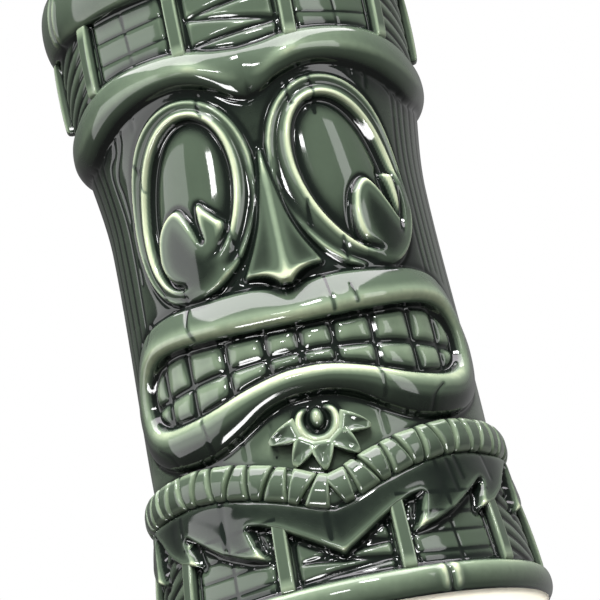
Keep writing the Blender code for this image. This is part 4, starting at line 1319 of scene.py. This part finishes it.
class TIKI_OT_flower(TikiOperator, bpy.types.Operator):
    """Adds the flower under the chin: its cup and bead, and the fan of petals"""

    bl_idname = "tiki.flower"
    bl_label = "Flower"

    def execute(self, context):
        petals = context.scene.tiki_petals
        seat(tile("flower_cup", glaze_of(context)), "flower_glaze", "flower_centre")
        values = block_values(petals, glaze_of(context))
        values["Centre"] = (FLOWER[0] * DEG * MM, 0.0, FLOWER[1] * MM)
        values["Inner"] = 0.0043 + 0.5 * petals.length
        values["Start"] = math.radians(-105.0)
        values["Step"] = math.radians(-37.5)
        nodes = [f"flower_petal_{i}" for i in range(1, 6)]
        seat(grown("petals", fan_group(), values), "flower_glaze", *nodes)
        return {"FINISHED"}


class TIKI_OT_belt(TikiOperator, bpy.types.Operator):
    """Adds the twisted belt of wedges on its core"""

    bl_idname = "tiki.belt"
    bl_label = "Belt"

    def execute(self, context):
        seat(tile("belt_core", glaze_of(context)), "leaf_glaze", "rope_belt")
        angles = np.linspace(-180.0, 180.0, 145)
        heights = level(BELT_LINE, np.minimum(np.abs(angles), 89.0))
        line = bpy.data.meshes.new("belt line")
        places = [(a * DEG * MM, 0.0, z * MM) for a, z in zip(angles, heights)]
        line.from_pydata(places, [(i, i + 1) for i in range(len(places) - 1)], [])
        values = block_values(context.scene.tiki_wedges, glaze_of(context))
        seat(grown("belt_wedges", course_group(), values, line), "leaf_glaze", "rope_belt")
        return {"FINISHED"}


class TIKI_OT_skirt(TikiOperator, bpy.types.Operator):
    """Adds the skirt of pointed leaves under the belt"""

    bl_idname = "tiki.skirt"
    bl_label = "Skirt"

    def execute(self, context):
        seat(tile("leaf_skirt", glaze_of(context)), "leaf_glaze", "leaf_skirt")
        return {"FINISHED"}


class TIKI_OT_battens(TikiOperator, bpy.types.Operator):
    """Adds the two rings of upright battens between the panels"""

    bl_idname = "tiki.battens"
    bl_label = "Battens"

    def execute(self, context):
        battens = context.scene.tiki_battens
        tree = ring_group()
        bands = (("upper", 133.0, RIM_ROLL_LOW + 0.6), ("lower", FOOT_ROLL_TOP - 0.6, 26.0))
        for where, low, high in bands:
            values = block_values(battens, glaze_of(context))
            values["Size"] = (battens.width, battens.thickness, (high - low) * MM)
            values["Height"] = 0.5 * (low + high) * MM
            values["First"] = FIRST_BATTEN * DEG * MM
            nodes = [f"{where}_batten_{i:02d}" for i in range(1, 11)]
            seat(grown(f"{where}_battens", tree, values), "batten_glaze", *nodes)
        return {"FINISHED"}


def mug_place(azimuth, elevation, distance):
    """A place as seen from the mug's middle: azimuth 0 is in front, and 90 on the viewer's right."""
    turn, rise = math.radians(azimuth), math.radians(elevation)
    flat = distance * math.cos(rise)
    height = distance * math.sin(rise) + 0.5 * HEIGHT * MM
    return Vector((flat * math.sin(turn), -flat * math.cos(turn), height))


def add_light(name, place, size, power, unseen_by=()):
    """An area light turned to the mug's middle, and kept from some kinds of ray."""
    lamp = bpy.data.lights.new(name, "AREA")
    lamp.shape = "RECTANGLE"
    lamp.size, lamp.size_y = size
    lamp.energy = power
    made = bpy.data.objects.new(name, lamp)
    bpy.context.scene.collection.objects.link(made)
    target = Vector((0.0, 0.0, 0.5 * HEIGHT * MM))
    turn = (target - place).to_track_quat("-Z", "Y").to_matrix().to_4x4()
    made.matrix_world = Matrix.Translation(place) @ turn
    for kind in unseen_by:
        setattr(made, f"visible_{kind}", False)
    return lamp


def add_lights(look):
    add_light("key", mug_place(-76, 2, 0.8), (0.80, 0.70), look.key, ["diffuse"])
    add_light("soft", mug_place(-20, 48, 0.9), (0.7, 0.7), look.soft, ["glossy"])
    add_light("window", mug_place(14, 42, 0.7), (0.11, 0.11), look.window)
    add_light("flash", mug_place(-6, 14, 0.7), (0.13, 0.05), look.flash)
    add_light("low window", mug_place(-26, -44, 0.7), (0.36, 0.16), look.low, ["diffuse"])
    add_light("strip", mug_place(55, 4, 0.7), (0.19, 0.5), look.strip)
    below = Vector((0.0, 0.0, -0.06))
    under = add_light("under the foot", below, (0.08, 0.08), look.under, ["glossy", "camera"])
    under.shape = "DISK"
    top = add_light("top", mug_place(-10, 88, 0.8), (1.2, 1.0), look.top)
    top.color = (1.0, 0.94, 1.0)
    add_light("fill", mug_place(190, 30, 0.9), (0.8, 0.8), look.fill, ["glossy"])


def make_paper():
    """Pale paper with a soft edge, which is only there as seen from above."""
    made = bpy.data.materials.new("paper")
    made.use_nodes = True
    nodes = Nodes(made.node_tree)
    shader = made.node_tree.nodes["Principled BSDF"]
    place = nodes.add("ShaderNodeTexCoord").outputs["Object"]
    tone = nodes.add("ShaderNodeMix", {"data_type": "RGBA"}, i0=nodes.noise(place, 30.0, 2.0))
    tone.inputs[6].default_value = (0.86, 0.86, 0.86, 1.0)
    tone.inputs[7].default_value = (0.90, 0.90, 0.90, 1.0)
    nodes.put(shader, "Base_Color", tone.outputs[2])
    shader.inputs["Roughness"].default_value = 0.9
    clear = nodes.add("ShaderNodeBsdfTransparent")
    below = nodes.add("ShaderNodeNewGeometry").outputs["Backfacing"]
    away = nodes.add("ShaderNodeVectorMath", {"operation": "LENGTH"}, i0=place).outputs["Value"]
    gone = nodes.maths("MAXIMUM", below, nodes.spread(away, 0.10, 0.32, kind="SMOOTHSTEP"))
    mix = nodes.add("ShaderNodeMixShader", i0=gone, i1=shader.outputs[0], i2=clear.outputs[0])
    nodes.put(made.node_tree.nodes["Material Output"], "Surface", mix.outputs[0])
    return made


def make_floor():
    """A square of paper, which is seen but throws nothing back on the mug."""
    mesh = bpy.data.meshes.new("floor")
    half = 0.4
    corners = [(-half, -half, 0), (half, -half, 0), (half, half, 0), (-half, half, 0)]
    mesh.from_pydata(corners, [], [(0, 1, 2, 3)])
    floor = add_mesh("floor", mesh, make_paper())
    for kind in ("glossy", "diffuse", "shadow"):
        setattr(floor, f"visible_{kind}", False)


def make_room(look):
    """The world: a dim room in front of the mug, paler behind on the right, and white as seen directly."""
    world = bpy.data.worlds.new("room")
    world.use_nodes = True
    bpy.context.scene.world = world
    nodes = Nodes(world.node_tree)
    light = world.node_tree.nodes["Background"]
    seen = nodes.add("ShaderNodeLightPath").outputs["Is Camera Ray"]
    way = nodes.add("ShaderNodeTexCoord").outputs["Generated"]
    behind = nodes.add("ShaderNodeVectorMath", {"operation": "DOT_PRODUCT"}, i0=way, i1=(0.8, 0.6, 0.0))
    room = nodes.spread(behind.outputs["Value"], 0.6, 1.0, look.room, look.sheet, "SMOOTHSTEP")
    strength = nodes.add("ShaderNodeMix", {"data_type": "FLOAT"}, i0=seen, i2=room, i3=1.0)
    nodes.put(light, "Strength", strength.outputs[0])
    light.inputs["Color"].default_value = (1.0, 1.0, 1.0, 1.0)


def aim_camera(scene):
    """The camera, below the level of the foot and rolled, as if over a mug laid on its back."""
    data = bpy.data.cameras.new("camera")
    data.lens = 217.8
    data.sensor_width = 36.0
    data.clip_start = 0.05
    camera = bpy.data.objects.new("camera", data)
    scene.collection.objects.link(camera)
    azimuth, elevation, roll = (math.radians(a) for a in (-1.5, -14.0, 12.2))
    flat = math.cos(elevation)
    back = Vector((math.sin(azimuth) * flat, -math.cos(azimuth) * flat, math.sin(elevation)))
    right = (-back).cross(Vector((0.0, 0.0, 1.0))).normalized()
    up = right.cross(-back)
    across = math.cos(roll) * right - math.sin(roll) * up
    upward = math.sin(roll) * right + math.cos(roll) * up
    turn = Matrix((across, upward, back)).transposed().to_4x4()
    camera.matrix_world = Matrix.Translation(Vector((0.0032, 0.0, 0.0821)) + 0.85 * back) @ turn
    scene.camera = camera


class TIKI_OT_stage(TikiOperator, bpy.types.Operator):
    """Adds the pale floor, the studio lights and the camera"""

    bl_idname = "tiki.stage"
    bl_label = "Stage"

    def execute(self, context):
        look = context.scene.tiki_stage
        make_floor()
        make_room(look)
        add_lights(look)
        aim_camera(context.scene)
        context.scene.view_settings.view_transform = "Standard"
        return {"FINISHED"}


class TIKI_PT_panel(bpy.types.Panel):
    """Sidebar panel of the mug"""

    bl_idname = "TIKI_PT_panel"
    bl_label = "Tiki Mug"
    bl_space_type = "VIEW_3D"
    bl_region_type = "UI"
    bl_category = "Tiki Mug"

    def draw(self, context):
        for title, group in (
            ("Glaze", context.scene.tiki_glaze),
            ("Battens", context.scene.tiki_battens),
            ("Belt wedges", context.scene.tiki_wedges),
            ("Petals", context.scene.tiki_petals),
            ("Stage", context.scene.tiki_stage),
        ):
            box = self.layout.box()
            box.label(text=title)
            for name in group.bl_rna.properties.keys():
                if name not in ("rna_type", "name"):
                    box.prop(group, name)
        for operator in OPERATORS:
            self.layout.operator(operator.bl_idname)


OPERATORS = (
    TIKI_OT_cup,
    TIKI_OT_walls,
    TIKI_OT_bands,
    TIKI_OT_eyes,
    TIKI_OT_nose,
    TIKI_OT_mouth,
    TIKI_OT_flower,
    TIKI_OT_belt,
    TIKI_OT_skirt,
    TIKI_OT_battens,
    TIKI_OT_stage,
)
CLASSES = (TikiGlaze, TikiBlocks, TikiStage, TIKI_PT_panel, *OPERATORS)
SETTINGS = {
    "tiki_glaze": TikiGlaze,
    "tiki_battens": TikiBlocks,
    "tiki_wedges": TikiBlocks,
    "tiki_petals": TikiBlocks,
    "tiki_stage": TikiStage,
}


def register():
    for cls in CLASSES:
        bpy.utils.register_class(cls)
    for name, group in SETTINGS.items():
        setattr(bpy.types.Scene, name, bpy.props.PointerProperty(type=group))


def unregister():
    for name in SETTINGS:
        delattr(bpy.types.Scene, name)
    for cls in reversed(CLASSES):
        bpy.utils.unregister_class(cls)


def main():
    register()
    set_values(bpy.context.scene.tiki_wedges, WEDGES)
    set_values(bpy.context.scene.tiki_petals, PETALS)
    for operator in OPERATORS:
        getattr(bpy.ops.tiki, operator.bl_idname.split(".")[1])()


if __name__ == "__main__":
    main()
